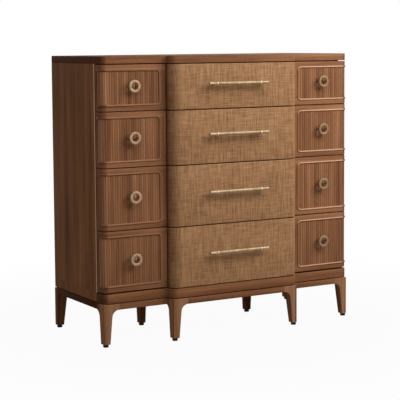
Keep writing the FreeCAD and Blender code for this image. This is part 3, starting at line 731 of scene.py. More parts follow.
front_leg = corner_leg((leg_x, leg_y), CORNER_RADIUS, FRONT_KNEE)
step_leg = corner_leg((step_leg_x, step_leg_y), CORNER_RADIUS, FRONT_KNEE)
back_leg = [turned_to_back(part) for part in corner_leg((leg_x, -back_face), REAR_ROUND, REAR_KNEE)]
for name, leg in (("front_corner", front_leg), ("breakfront", step_leg), ("rear_corner", back_leg)):
    make_piece(f"{name}_legs_shaped", leg + [part.mirrored() for part in leg],
               stained_wood, "case", [f"{name}_legs"])

# %% [markdown]
# ## Aprons and inner legs
#
# Straight rails join the legs: aprons along the front, the sides and the back, a stretcher behind the step,
# and cross rails from front to back, with bearers on them that carry the case. They could be one outline
# with holes, but single eased boards show their joints, as a maker would leave them.

# %% Rails of the leg frame
INNER_FOOT, INNER_TOP = 0.029, 0.038
CASE_BOARD = 0.020
RAIL_TONE = 0.05
inner_low, inner_high = node_box("inner_legs")
inner_x, inner_y = inner_high[0] - INNER_TOP / 2, (inner_low[1] + inner_high[1]) / 2
cross = (inner_high[0] - INNER_TOP, inner_high[0])
stretcher = (step_leg_y + LEG_WING, step_leg_y + LEG_WING + WING_THICKNESS)
case_floor = node_box("case_bottom")[1][2] - CASE_BOARD


def rail(x, y, tone=RAIL_TONE):
    """An eased board as high as the leg frame's aprons, between two x and two y marks."""
    return board(rectangle(x, y), leg_clear, frame_top, tone_and_painted_light=tone)


# The side aprons take the same painted shade as the sideways faces of the legs.
paired = [rail((step_leg_x, leg_x - LEG_WING), (leg_y, leg_y + WING_THICKNESS)),
          rail((leg_x - WING_THICKNESS, leg_x), (leg_y + LEG_WING, back_face - LEG_WING), SIDE_SHADE),
          rail(cross, (stretcher[1], back_face - WING_THICKNESS)),
          board(rectangle(cross, (partition_low[1], partition_high[1])), panel_low[2], case_floor)]
rails = [rail((LEG_WING - step_leg_x, step_leg_x - LEG_WING), (step_leg_y, step_leg_y + WING_THICKNESS)),
         rail((-step_leg_x, step_leg_x), stretcher),
         rail((LEG_WING - leg_x, leg_x - LEG_WING), (back_face - WING_THICKNESS, back_face))]
make_piece("leg_frame_rails_eased", rails + paired + [part.mirrored() for part in paired],
           stained_wood, "case", ["leg_frame_rails"])

# %% [markdown]
# Two inner legs stand under the cross rails and carry the middle of the case. They have no wings. Each is a
# small rounded square below and a larger one above, joined by straight sides like the posts behind the
# corner legs.

# %% Inner legs
inner_lines = [rectangle((inner_x - width / 2, inner_x + width / 2),
                         (inner_y - width / 2, inner_y + width / 2), POST_EASE)
               for width in (INNER_FOOT, INNER_TOP)]
inner_leg = tapered(inner_lines, (glide_height, leg_clear))
make_piece("inner_legs_shaped", [inner_leg, inner_leg.mirrored()],
           stained_wood, "case", ["inner_legs"])

# %% [markdown]
# ## Glides
#
# Every foot ends in a glide that screws in to level the chest. The glides are moulded plastic, black with
# a fine matt grain. One fine cloud of noise changes colour, roughness and relief together, as in a mould
# that was etched.

# %% The black glide finish
GLIDE_GRAIN = (900, 900, 900)
GLIDE_BLACK, GLIDE_GREY = colour(4, 4, 4), colour(14, 13, 12)
black_glide, tree, shader = new_finish("black_glide")
place = node(tree, "ShaderNodeTexCoord").outputs["Object"]
speckle = cloudy(tree, stretched(tree, place, GLIDE_GRAIN), 2.0, 0.0, "3D")
tree.links.new(blended(tree, speckle, GLIDE_BLACK, GLIDE_GREY), shader.inputs["Base Color"])
tree.links.new(spread(tree, speckle, 0.3, 0.7, 0.42, 0.6), shader.inputs["Roughness"])
embossed(tree, shader, speckle, 0.2, 0.0002)
shader.inputs["Specular IOR Level"].default_value = 0.15
print("black_glide:", len(tree.nodes), "nodes")

# %% [markdown]
# A cylinder would do for the shape, but a turned profile also gives the rounded rim that meets the floor.
# We list its radius against its height, and swing that line once round the middle of each foot. The same
# function will turn the brass pulls.

# %% Turned glides
def turned(along, radius, at, axis, steps=24, wear_and_painted_light=0.0):
    """A profile of radius against distance swung once round an axis through a point, with wear and painted
    light.
    """
    swing = np.linspace(0, 2 * math.pi, steps, endpoint=False)
    first, second = [(1, 2), (2, 0), (0, 1)][axis]
    points = np.zeros((len(along), steps, 3))
    points[..., axis] = along[:, None]
    points[..., first] = radius[:, None] * np.cos(swing)
    points[..., second] = radius[:, None] * np.sin(swing)
    girth = 2 * math.pi * radius.max()
    walk = np.broadcast_to(np.linspace(0, girth, steps + 1), (len(along), steps + 1))
    run = np.broadcast_to(along[:, None], walk.shape)
    tone_and_painted_light = np.repeat((wear_and_painted_light + 0 * along)[:, None], steps, axis=1)
    return close_shell(points + np.asarray(at), run, walk, tone_and_painted_light=tone_and_painted_light)


GLIDE_UP = np.array([0, 0, 0.0008, 0.003, 0.0085, 0.010, 0.012])
GLIDE_OUT = np.array([0.008, 0.0111, 0.0117, 0.0120, 0.0120, 0.0115, 0.0115])
half_foot = LEG_FOOT / 2
feet = [(leg_x - half_foot, leg_y + half_foot), (step_leg_x - half_foot, step_leg_y + half_foot),
        (leg_x - half_foot, back_face - half_foot), (inner_x, inner_y)]
glides = [turned(GLIDE_UP, GLIDE_OUT, (x, y, 0), 2) for x, y in feet]
make_piece("glides_turned", glides + [part.mirrored() for part in glides],
           black_glide, "case", ["levelling_glides"])

# %% [markdown]
# ## Reeded fronts
#
# Each side drawer has a field of upright reeds, small half-round ridges side by side, sunk a little below
# the flat border and carried round the outer corner. Cutting them from a block would take hundreds of
# steps. On the flat pattern the depth of the face is a row of circle arcs inside the field and nothing
# outside it, and bending the pattern wraps the reeds with it. The border rails have level grain, the reeds
# and stiles upright grain.

# %% Marks on the reeded fronts
BEAD_INSET, BEAD_INNER_INSET = 0.024, 0.031
BEAD_RADIUS, BEAD_HALF, BEAD_RETURN = 0.016, 0.004, 0.018
REED_PITCH, REED_DEPTH, REED_RECESS = 0.011, 0.0016, 0.0006
FIELD_MARGIN = BEAD_HALF + 0.0005
side_corner = (half_width, side_face)
run_to_bend = half_width - CORNER_RADIUS - front_inner
bend_middle = run_to_bend + bend_length / 2
face_length = run_to_bend + bend_length + reeded_high[1] - side_face - CORNER_RADIUS
bead_end = run_to_bend + bend_length + BEAD_RETURN
field_start, field_end = BEAD_INNER_INSET + FIELD_MARGIN, bead_end - FIELD_MARGIN
reed_count = round((field_end - field_start) / REED_PITCH)
print("reeds on each front:", reed_count)

# %% [markdown]
# Stain gathers in the valleys between the reeds, and no two reeds take it alike, so each point of the
# pattern also gets a tone. Painted shade darkens the faces that turn away round the outer corner, the inner
# edge by the centre column, and the outer border at the return.

# %% The flat pattern
FIELD_STEP, BORDER_RUN, BORDER_EDGE = 0.0003, 0.0035, 0.0015
INNER_EDGE_SHADE, OUTER_EDGE_SHADE, VALLEY_TONE = 0.8, 0.8, 0.35
REED_TONES = (-0.08, 0.25)
BEND_SHADE_AT, BEND_SHADE = [0.001, 0.008, bend_length], [0, 0.45, 0.6]
BACK_WALK = np.array([0.02, 0.06, 0.36, 0.38])
RING_LIGHT_REACH = 0.018
HAIR, ROW_SLACK = 1e-6, 0.001


def reed_line(steps=8):
    """Walk, depth, inset and tone, with painted shade at the edges: border, circle arcs of the reeds,
    border.

    On a circle of radius (w * w + d * d) / 2d a reed of half width w falls by d from crest to valley.
    """
    pitch = (field_end - field_start) / reed_count
    half = pitch / 2
    circle = (half ** 2 + REED_DEPTH ** 2) / (2 * REED_DEPTH)
    walk = np.linspace(field_start, field_end, reed_count * steps + 1)
    off = (np.arange(len(walk)) % steps) / steps * pitch - half
    depth = REED_RECESS + circle - np.sqrt(circle ** 2 - off ** 2)
    border_in, edge_in = eased_levels(0, BORDER_RUN, EASE, 0)
    border_in, edge_in = np.append(border_in, 0), np.append(edge_in, field_start - FIELD_STEP)
    border_out, edge_out = eased_levels(field_end + FIELD_STEP, face_length, 0, EASE)
    walks = np.concatenate([edge_in, walk, edge_out])
    depths = np.concatenate([border_in * 0, depth, border_out * 0])
    insets = np.concatenate([border_in, walk * 0, border_out])
    uneven = np.repeat(veneer.uniform(*REED_TONES, reed_count), steps)
    stain = np.append(uneven, uneven[-1]) + VALLEY_TONE * (depth - REED_RECESS) / REED_DEPTH
    # Painted shade on the inner edge and on the whole outer border.
    inner_edge = INNER_EDGE_SHADE * (edge_in < BORDER_EDGE)
    stains_and_shade = np.concatenate([inner_edge, stain, np.full(len(edge_out), OUTER_EDGE_SHADE)])
    return walks, depths, insets, stains_and_shade


def reeded_front(low, high, ring_z):
    """The flat pattern with its reeds, carried up through levels that switch the reeds on, then bent.

    More levels lie close together behind the ring, to hold the painted light there.
    """
    walks, reeds, side_ease, stains_and_shade = reed_line()
    ease, rise = eased_levels(low, high, EASE, EASE)
    base, crown = low + BEAD_INSET + FIELD_MARGIN, high - BEAD_INSET - FIELD_MARGIN
    behind_ring = np.linspace(ring_z - RING_LIGHT_REACH, ring_z + RING_LIGHT_REACH, 8)
    field = np.sort(np.concatenate([np.linspace(base, crown, 5), behind_ring]))
    field = np.concatenate([[base - FIELD_STEP], field, [crown + FIELD_STEP]])
    half = len(rise) // 2
    rise = np.concatenate([rise[:half], field, rise[half:]])
    ease = np.concatenate([ease[:half], field * 0, ease[half:]])
    reeded = (rise > base - HAIR) & (rise < crown + HAIR)
    depth = reeds[None] * reeded[:, None] + np.maximum(ease[:, None], side_ease[None])
    outer = bent(walks[None] - bend_middle, depth, side_corner, CORNER_RADIUS)
    back_y = side_face + FRONT_THICKNESS
    inner = np.array([(panel_low[0], reeded_high[1]), (panel_low[0], back_y), (front_inner, back_y)])
    plan = np.concatenate([outer, np.broadcast_to(inner, (len(rise), 3, 2))], axis=1)
    walk = np.concatenate([walks, face_length + BACK_WALK])
    along = np.broadcast_to(walk, (len(rise), len(walk)))
    across = np.broadcast_to(rise[:, None], along.shape)
    stile_rows = (rise[:-1] > base - ROW_SLACK) & (rise[1:] < crown + ROW_SLACK)
    # Painted shade on the bend and at the inner edge.
    border = np.interp(walks - run_to_bend, BEND_SHADE_AT, BEND_SHADE) + INNER_EDGE_SHADE * (walks < BORDER_EDGE)
    stain = np.where(reeded[:, None], stains_and_shade[None], border[None])
    tone_and_painted_light = np.concatenate([stain, np.zeros((len(rise), 3))], axis=1)
    return close_shell(raised(plan, rise), along, across, upright_rows=stile_rows, tone_and_painted_light=tone_and_painted_light)


print("flat pattern: %.0f mm from edge to edge" % (1e3 * face_length))

# %% [markdown]
# The two sides differ a little in tone, and all of it is painted light. A painted pool of light pales the
# reeds behind the rings against the rings' shade, most of all on the left. A painted sheen pales the left
# outer corner, and painted shade darkens the uppermost left rail.

# %% Reeded fronts
CORNER_SHEEN = {"right": 0.0, "left": -0.28}
CORNER_RUN = 0.008
TOP_RAIL_SHADE = 0.3
RING_PAINTED_LIGHT = {"right": 0.1, "left": 0.5}
RING_LIGHT_FULL = 0.009
REED_CREASE = 60


def side_tone(points, side, row, ring, rail_low):
    """What one side adds to the stain, all painted light: a paler disc behind the ring that fades towards
    its reach, the corner's painted sheen on the bend, and painted shade on the rail over the uppermost left
    reeds."""
    x, z = np.abs(points[:, 0]), points[:, 2]
    painted_light = np.interp(np.hypot(x - ring[0], z - ring[2]), [RING_LIGHT_FULL, RING_LIGHT_REACH], [1, 0])
    on_bend = np.clip((x - half_width + CORNER_RADIUS) / CORNER_RUN, 0, 1)
    tone = CORNER_SHEEN[side] * on_bend - RING_PAINTED_LIGHT[side] * painted_light
    if (side, row) == ("left", ROWS[0]):
        tone = tone + TOP_RAIL_SHADE * (z > rail_low) * (1 - on_bend)
    return tone


for row in ROWS:
    low, high = node_box(f"right_drawer_{row}_front")
    ring = sum(node_box(f"right_drawer_{row}_knob")) / 2
    front = reeded_front(low[2], high[2], ring[2])
    for side, shell in (("right", front), ("left", front.mirrored())):
        shell.tone_and_painted_light = shell.tone_and_painted_light + side_tone(shell.points, side, row, ring, high[2] - BEAD_INSET)
        make_piece(f"{side}_reeded_front_{row}", [shell], reeded_wood,
                   f"{side}_drawer_{row}", [f"{side}_drawer_{row}_front"], crease=REED_CREASE)

# %% [markdown]
# ## Beads
#
# A half-round bead frames the reeds and wraps the outer corner with them. It could be a bevelled curve, but
# the curve would have to find its way round the bend. On the flat pattern it is only a rounded rectangle:
# we carry a half ellipse along it there, and bend the result. A painted highlight pales the crown of the
# level runs, much more on the right than on the left, and painted shade darkens the beads round the bend.

# %% Beads
BEAD_HEIGHT, BEAD_SUNK, BEAD_STOPS = 0.0034, 0.0006, 280
BEAD_HIGHLIGHT, LEVEL_HIGHLIGHT, LEFT_BEAD_HIGHLIGHT = 0.04, 0.75, -0.05
BEAD_BEND_SHADE, BEAD_BEND_RUN = 0.45, 0.008


def ring_shell(points, along, across, tone_and_painted_light=None):
    """A tube that closes both ways: the last row joins the first one, and there are no caps."""
    rows, columns = points.shape[:2]
    numbers = np.arange(rows * columns).reshape(rows, columns)
    numbers = np.vstack([numbers, numbers[:1]])
    quads = corners_of(np.hstack([numbers, numbers[:, :1]])).reshape(-1, 4)
    laid = np.stack([np.vstack([along, along[:1]]), np.vstack([across, across[:1]])], axis=2)
    laid = corners_of(laid).reshape(-1, 4, 2) + veneer.uniform(0, VENEER_SPREAD, 2)
    tone_and_painted_light = np.zeros((rows, columns)) if tone_and_painted_light is None else tone_and_painted_light
    return Shell(points.reshape(-1, 3), quads, laid, [], tone_and_painted_light.reshape(-1)).turned_out()


def bead(low, high):
    """A half ellipse carried along a rounded rectangle on the flat pattern, then bent round the corner."""
    corners = [(BEAD_INNER_INSET, low), (bead_end, low), (bead_end, high), (BEAD_INNER_INSET, high)]
    line = rounded_outline(corners, [BEAD_RADIUS] * 4, flats=8)
    length = walked(line)
    stops = np.linspace(0, length[-1], BEAD_STOPS, endpoint=False)
    closed = np.vstack([line, line[:1]])
    path = np.stack([np.interp(stops, length, closed[:, axis]) for axis in (0, 1)], axis=1)
    swing = np.linspace(0, math.pi, 9)
    across = np.concatenate([[1], np.cos(swing), [-1]]) * BEAD_HALF
    lift = np.concatenate([[-BEAD_SUNK], np.sin(swing) * BEAD_HEIGHT, [-BEAD_SUNK]])
    flat = path[None] + inward(path)[None] * across[:, None, None]
    plan = bent(flat[..., 0] - bend_middle, -lift[:, None], side_corner, CORNER_RADIUS)
    points = np.concatenate([plan, flat[..., 1:]], axis=2)
    around = np.broadcast_to(np.append(stops, length[-1]), (len(lift), len(stops) + 1))
    over = np.broadcast_to((across + lift)[:, None], around.shape)
    heading = np.roll(path, -1, axis=0) - np.roll(path, 1, axis=0)
    level = np.abs(heading[:, 0]) / np.linalg.norm(heading, axis=1)
    # Painted highlight on the crowns of the level runs, painted shade round the bend.
    crown = np.clip(lift / BEAD_HEIGHT, 0, 1) ** 3
    on_bend = np.interp(path[:, 0] - run_to_bend, [0, BEAD_BEND_RUN], [0, 1])
    pale = crown[:, None] * (BEAD_HIGHLIGHT + LEVEL_HIGHLIGHT * level[None]) * (1 - on_bend)
    return ring_shell(points, around, over, BEAD_BEND_SHADE * on_bend - pale)


for row in ROWS:
    low, high = node_box(f"right_drawer_{row}_front")
    trim = bead(low[2] + BEAD_INSET, high[2] - BEAD_INSET)
    twin = trim.mirrored()
    # The left-hand beads keep only a faint painted highlight.
    twin.tone_and_painted_light = np.maximum(twin.tone_and_painted_light, LEFT_BEAD_HIGHLIGHT)
    for side, shell in (("right", trim), ("left", twin)):
        make_piece(f"{side}_bead_{row}", [shell], lacquered_bead,
                   f"{side}_drawer_{row}", [f"{side}_drawer_{row}_bead"], crease=REED_CREASE)

# %% [markdown]
# ## Woven raffia
#
# The centre drawers are wrapped in cloth woven from flat raffia strands. Strands differ from each other, so
# the cloth is streaky like linen, more upright than level. The weave is worked out from the UV map in
# metres: the whole part of place / pitch numbers a strand, and the sum of the two strand numbers says which
# one lies on top. Each strand has its own cloud of tone along its length. An image of cloth would be
# quicker, but its repeat would show, and it would blur from near by.

# %% Strands of the weave
STRAND = 0.0052
STRAND_STEP, WARP_RUN, WEFT_RUN = 0.83, 11, 13
woven_raffia, tree, shader = new_finish("woven_raffia")
cloth = node(tree, "ShaderNodeUVMap", uv_map="veneer").outputs[0]
counted = stretched(tree, cloth, (1 / STRAND,) * 3)
strand = node(tree, "ShaderNodeVectorMath", {0: counted}, operation="FLOOR").outputs[0]
across_strand = node(tree, "ShaderNodeVectorMath", {0: counted}, operation="FRACTION").outputs[0]
number = node(tree, "ShaderNodeSeparateXYZ", {0: strand}).outputs
within = node(tree, "ShaderNodeSeparateXYZ", {0: across_strand}).outputs
at = node(tree, "ShaderNodeSeparateXYZ", {0: cloth}).outputs
warp_place = {0: maths(tree, "MULTIPLY", number[0], STRAND_STEP),
              1: maths(tree, "MULTIPLY", at[1], WARP_RUN)}
weft_place = {0: maths(tree, "MULTIPLY", at[0], WEFT_RUN),
              1: maths(tree, "MULTIPLY", number[1], STRAND_STEP)}
warp_tone = cloudy(tree, node(tree, "ShaderNodeCombineXYZ", warp_place).outputs[0], 2.0)
weft_tone = cloudy(tree, node(tree, "ShaderNodeCombineXYZ", weft_place).outputs[0], 2.0)
odd = maths(tree, "MODULO", maths(tree, "ADD", number[0], number[1]), 2.0)
warp_on_top = maths(tree, "GREATER_THAN", maths(tree, "ABSOLUTE", odd), 0.5)
warp_round = maths(tree, "PINGPONG", within[0], 0.5)
weft_round = maths(tree, "PINGPONG", within[1], 0.5)
top_tone = chosen(tree, warp_on_top, weft_tone, warp_tone)
top_round = chosen(tree, warp_on_top, weft_round, warp_round)
print("strands are %.1f mm wide" % (1e3 * STRAND))

# %% [markdown]
# The tone of the cloth adds up what the strands, the weave and broad patches give. Narrow shadows between
# the strands are laid over it, and then the number per point, which on the cloth is painted shade.

# %% The raffia finish
WARP_SHARE, WEFT_SHARE, TOP_SHARE, OVER_SHARE, PATCH_SHARE = 0.35, 0.19, 0.26, 0.08, 0.10
PATCH_SCALE = (6, 5, 1)
STRAW_DARK, STRAW_PALE = colour(114, 76, 48), colour(196, 153, 110)
GAP_SHADOW, SHADED_STRAW = colour(150, 112, 80), colour(58, 36, 24)
patches = cloudy(tree, stretched(tree, cloth, PATCH_SCALE), 2.0)
tone = maths(tree, "MULTIPLY_ADD", warp_tone, WARP_SHARE, maths(tree, "MULTIPLY", weft_tone, WEFT_SHARE))
tone = maths(tree, "MULTIPLY_ADD", top_tone, TOP_SHARE, tone)
tone = maths(tree, "MULTIPLY_ADD", warp_on_top, OVER_SHARE, tone)
tone = maths(tree, "MULTIPLY_ADD", patches, PATCH_SHARE, tone)
straw = blended(tree, spread(tree, tone, 0.23, 0.75), STRAW_DARK, STRAW_PALE)
gaps = spread(tree, top_round, 0.0, 0.25, 0.85, 0.0)
straw = blended(tree, gaps, straw, GAP_SHADOW, "MULTIPLY")
# Painted shade darkens the cloth where the number per point says so.
painted_light = node(tree, "ShaderNodeAttribute", attribute_name="tone_and_painted_light").outputs["Fac"]
straw = blended(tree, painted_light, straw, SHADED_STRAW)
tree.links.new(straw, shader.inputs["Base Color"])
tree.links.new(spread(tree, tone, 0.3, 0.7, 0.72, 0.6), shader.inputs["Roughness"])
embossed(tree, shader, top_round, 0.5, 0.0008)
shader.inputs["Specular IOR Level"].default_value = 0.12
print("woven_raffia:", len(tree.nodes), "nodes")

# %% [markdown]
# ## Raffia fronts
#
# A centre front is a shallow tray: its face turns both corners and runs back to the side columns. Walking
# out from the middle, both halves are the same bend, so the distance from the middle picks the bend and
# the sign picks the side. The wrapped edges are a little softer than those of bare wood, and painted shade
# darkens the cloth at the far ends of the returns and round the left corner.

# %% Centre fronts
SOFT = 0.0025
RETURN_DARK_AT, RETURN_DARK = [0.001, 0.012], [0, 0.8]
CORNER_SHADE_RUN = 0.018
CORNER_SHADE_AT = [-CORNER_SHADE_RUN, -CORNER_SHADE_RUN / 2, 0, 0.012, 0.03]
CORNER_SHADE = [0, 0.2, 0.3, 0.24, 0.12]
TRAY_WALK = np.array([0.01, 0.04, 0.66, 0.7, 0.71])
FACE_START, FACE_STOPS, BEND_STOPS = 0.02, 6, 13
centre_corner = (half_centre, centre_face)
centre_rear = centre_high[1]
to_bend = half_centre - CORNER_RADIUS
half_face = to_bend + bend_length + centre_rear - centre_face - CORNER_RADIUS


def raffia_front(low, high):
    """The flat face from end to end, carried up, with soft edges, and bent round both corners."""
    ease, rise = eased_levels(low, high, SOFT, SOFT, steps=4)
    end_ease, ends = eased_levels(to_bend + bend_length, half_face, 0, SOFT)
    flat = np.linspace(FACE_START, to_bend - CORNER_SHADE_RUN, FACE_STOPS)
    flat = np.append(flat, [to_bend - CORNER_SHADE_RUN / 2, to_bend])
    half = np.concatenate([flat, to_bend + np.linspace(0, bend_length, BEND_STOPS)[1:-1], ends])
    half_ease = np.concatenate([np.zeros(len(half) - len(end_ease)), end_ease])
    walks = np.concatenate([-half[::-1], half])
    depth = np.maximum(ease[:, None], np.concatenate([half_ease[::-1], half_ease])[None])
    outer = bent(np.abs(walks)[None] - to_bend - bend_length / 2, depth, centre_corner, CORNER_RADIUS)
    outer[..., 0] *= np.sign(walks)
    back_y = centre_face + FRONT_THICKNESS
    inner = np.array([(partition_low[0], centre_rear), (partition_low[0], back_y),
                      (-partition_low[0], back_y), (-partition_low[0], centre_rear)])
    plan = np.concatenate([outer, np.broadcast_to(inner, (len(rise), 4, 2))], axis=1)
    walk = np.concatenate([walks, half_face + TRAY_WALK])
    along = np.broadcast_to(walk, (len(rise), len(walk)))
    across = np.broadcast_to(rise[:, None], along.shape)
    # Painted shade at the far ends of the returns and round the left corner.
    far_ends = np.interp(np.abs(walks) - to_bend - bend_length, RETURN_DARK_AT, RETURN_DARK)
    left_corner = np.interp(-walks - to_bend, CORNER_SHADE_AT, CORNER_SHADE)
    dark = np.append(np.maximum(far_ends, left_corner), np.zeros(len(inner)))
    tone_and_painted_light = np.broadcast_to(dark, plan.shape[:2])
    return close_shell(raised(plan, rise), along, across, tone_and_painted_light=tone_and_painted_light)


for row in ROWS:
    low, high = node_box(f"centre_drawer_{row}_front")
    make_piece(f"raffia_front_{row}", [raffia_front(low[2], high[2])], woven_raffia,
               f"centre_drawer_{row}", [f"centre_drawer_{row}_front"])

# %% [markdown]
# ## Brass pulls
#
# The pulls are pale brass with a brushed, slightly hand-worked surface. Metal shows mostly what it
# mirrors, so much of the finish is roughness: fine brush lines and a soft hammered unevenness. The rings
# are a warmer brass than the bars, and painted shade makes the right-hand rings darker still. Hands have
# polished the collars of the bars, and a painted glint pales them. One number per point picks these:
# below 0 for polish with a painted glint, and above 0 for warm brass and then for painted shade.

# %% The brass finish
WARM_BRASS, SHADED_BRASS = 0.5, 1.0
BRUSH_SCALE, WORKED_SCALE, PATINA_SCALE = (160, 1400, 1400), (240, 240, 240), (60, 60, 60)
PLAIN_PAIR = colour(132, 113, 85), colour(161, 141, 111)
WARM_PAIR = colour(136, 109, 86), colour(165, 137, 112)
SHADED_PAIR = colour(118, 94, 70), colour(144, 117, 91)
POLISH_AND_GLINT_BRASS, POLISH_SMOOTH = colour(232, 212, 184), 0.2
brushed_brass, tree, shader = new_finish("brushed_brass")
place = node(tree, "ShaderNodeTexCoord").outputs["Object"]
brushed = cloudy(tree, stretched(tree, place, BRUSH_SCALE), 2.0, 0.0, "3D")
worked = cloudy(tree, stretched(tree, place, WORKED_SCALE), 1.0, 0.0, "3D")
patina = cloudy(tree, stretched(tree, place, PATINA_SCALE), 2.0, 0.0, "3D")
aged = spread(tree, patina, 0.3, 0.7)
wear_and_painted_light = node(tree, "ShaderNodeAttribute", attribute_name="tone_and_painted_light").outputs["Fac"]
brass = blended(tree, aged, *PLAIN_PAIR)
warm_brass = blended(tree, aged, *WARM_PAIR)
shaded_brass = blended(tree, aged, *SHADED_PAIR)
# Warm brass is the rings' own colour, the darker pair is painted shade, and the polish colour is a painted
# glint.
brass = blended(tree, spread(tree, wear_and_painted_light, 0, WARM_BRASS), brass, warm_brass)
brass = blended(tree, spread(tree, wear_and_painted_light, WARM_BRASS, SHADED_BRASS), brass, shaded_brass)
polish_and_glint = spread(tree, wear_and_painted_light, 0, -1)
tree.links.new(blended(tree, polish_and_glint, brass, POLISH_AND_GLINT_BRASS), shader.inputs["Base Color"])
dull = spread(tree, brushed, 0.3, 0.7, 0.55, 0.7)
tree.links.new(maths(tree, "MULTIPLY_ADD", polish_and_glint, -POLISH_SMOOTH, dull), shader.inputs["Roughness"])
shader.inputs["Metallic"].default_value = 1.0
embossed(tree, shader, maths(tree, "MULTIPLY_ADD", brushed, 0.25, worked), 0.3, 0.0005)
print("brushed_brass:", len(tree.nodes), "nodes")

# %% [markdown]
# The knobs are open rings that stand off the reeds on two short posts. A torus would be too slim at the
# edges, so a ring is a section swung round a circle. The section is between an ellipse and a rectangle:
# powers of the cosine and sine below one fill out its corners.

# %% Ring knobs
RING_MIDDLE, RING_HALF, RING_DEEP = 0.0213, 0.0061, 0.0046
RING_STEPS, SECTION_STEPS, SECTION_POWER = 56, 16, 0.5
RING_STANDOFF = 0.0198
RING_TONE_AND_SHADE = {"right": SHADED_BRASS, "left": WARM_BRASS}
RING_POST_REACH = np.array([0, 0.0144, 0.0169, 0.0182, 0.0203])
RING_POST_GIRTH = np.array([0.0027, 0.0027, 0.0030, 0.0036, 0.0036])
POST_STEPS, BRASS_CREASE = 20, 50


def swollen(value):
    """A power of a sine or cosine, with its sign kept."""
    return np.sign(value) * np.abs(value) ** SECTION_POWER


def ring_knob(x, z):
    """A filled-out ellipse swung round the y axis, and two posts back to the crests of the reeds."""
    swing = np.linspace(0, 2 * math.pi, RING_STEPS, endpoint=False)
    turn = np.linspace(0, 2 * math.pi, SECTION_STEPS, endpoint=False)
    radius = (RING_MIDDLE + RING_HALF * swollen(np.cos(turn)))[:, None]
    deep = np.broadcast_to(RING_DEEP * swollen(np.sin(turn))[:, None], (SECTION_STEPS, RING_STEPS))
    points = np.stack([radius * np.cos(swing), deep, radius * np.sin(swing)], axis=2)
    points = points + (x, side_face - RING_STANDOFF, z)
    length = np.linspace(0, 2 * math.pi * RING_MIDDLE, RING_STEPS + 1)
    around = np.broadcast_to(length, (SECTION_STEPS, RING_STEPS + 1))
    over = np.broadcast_to(np.linspace(0, 2 * math.pi * RING_HALF, SECTION_STEPS)[:, None], around.shape)
    reach = side_face - RING_STANDOFF + RING_POST_REACH
    posts = [turned(reach, RING_POST_GIRTH, (x + side * RING_MIDDLE, 0, z), 1, POST_STEPS)
             for side in (-1, 1)]
    return [ring_shell(points, around, over)] + posts


for row in ROWS:
    low, high = node_box(f"right_drawer_{row}_knob")
    knob = ring_knob((low[0] + high[0]) / 2, (low[2] + high[2]) / 2)
    for side, parts in (("right", knob), ("left", [part.mirrored() for part in knob])):
        # The right-hand rings get brass darkened by painted shade, and the left-hand ones get warm brass.
        for part in parts:
            part.tone_and_painted_light = part.tone_and_painted_light + RING_TONE_AND_SHADE[side]
        make_piece(f"{side}_ring_knob_{row}", parts, brushed_brass,
                   f"{side}_drawer_{row}", [f"{side}_drawer_{row}_knob"], crease=BRASS_CREASE)

# %% [markdown]
# The bars are turned rods. Over each post a collar swells out like the node of a cane, with a fine groove
# on each side. Rod and collars could be cylinders pushed into each other, but one profile of radius
# against length makes the rod, its collars and its softly rounded ends without a seam.

# %% Bar pulls
BAR_HALF, BAR_RADIUS, BAR_STANDOFF = 0.152, 0.0073, 0.026
POST_AT, COLLAR_RISE, COLLAR_HALF = 0.112, 0.0010, 0.0045
GROOVE_DEPTH, GROOVE_AT, GROOVE_WIDTH = 0.0011, 0.0060, 0.0009
END_RUN, END_DROP = 0.002, 0.0022
COLLAR_POLISH_AND_GLINT, END_POLISH_AND_GLINT, END_FROM = 0.3, 0.04, 0.007
BAR_POST_REACH = np.array([0, 0.0185, 0.022, 0.024, BAR_STANDOFF])
BAR_POST_GIRTH = np.array([0.0043, 0.0043, 0.0055, 0.0070, 0.0070])
BAR_STEPS = 28
INNER_STOPS, OUTER_STOPS = [0.04, 0.09], [0.13, 0.145]
FINE_HALF, FINE_STOPS, END_STOPS = 0.008, 33, 6


def bar_profile():
    """Place, radius, and polish with a painted glint, along the bar.

    It is a rod, less two fine grooves and plus a half ellipse at each post, with its ends rounded by a
    quarter ellipse. Hands polish the collars and, a little, the ends, and a painted glint pales them.
    """
    fine = POST_AT + np.linspace(-FINE_HALF, FINE_HALF, FINE_STOPS)
    rounding = BAR_HALF - END_RUN * (1 - np.sin(np.linspace(0, math.pi / 2, END_STOPS)))
    half = np.concatenate([INNER_STOPS, fine, OUTER_STOPS, rounding])
    off = np.abs(half - POST_AT)
    swelling = np.sqrt(np.clip(1 - (off / COLLAR_HALF) ** 2, 0, 1))
    groove = GROOVE_DEPTH * np.exp(-((off - GROOVE_AT) / GROOVE_WIDTH) ** 2)
    end = np.clip((half - BAR_HALF + END_RUN) / END_RUN, 0, 1)
    radius = BAR_RADIUS + COLLAR_RISE * swelling - groove - END_DROP * (1 - np.sqrt(1 - end ** 2))
    # Polish and a painted glint on the collars and, a little, on the ends.
    wear_and_painted_light = -COLLAR_POLISH_AND_GLINT * swelling - END_POLISH_AND_GLINT * (half > POST_AT + END_FROM)
    lines = ((-1, half), (1, radius), (1, wear_and_painted_light))
    return [np.concatenate([sign * line[::-1], line]) for sign, line in lines]


def bar_pull(z):
    """The rod turned about a level axis, and two posts turned about axes that run back to the cloth."""
    along, radius, wear_and_painted_light = bar_profile()
    axis_y = centre_face - BAR_STANDOFF
    rod = turned(along, radius, (0, axis_y, z), 0, BAR_STEPS, wear_and_painted_light)
    reach = axis_y + BAR_POST_REACH
    posts = [turned(reach, BAR_POST_GIRTH, (side * POST_AT, 0, z), 1, POST_STEPS) for side in (-1, 1)]
    return [rod] + posts


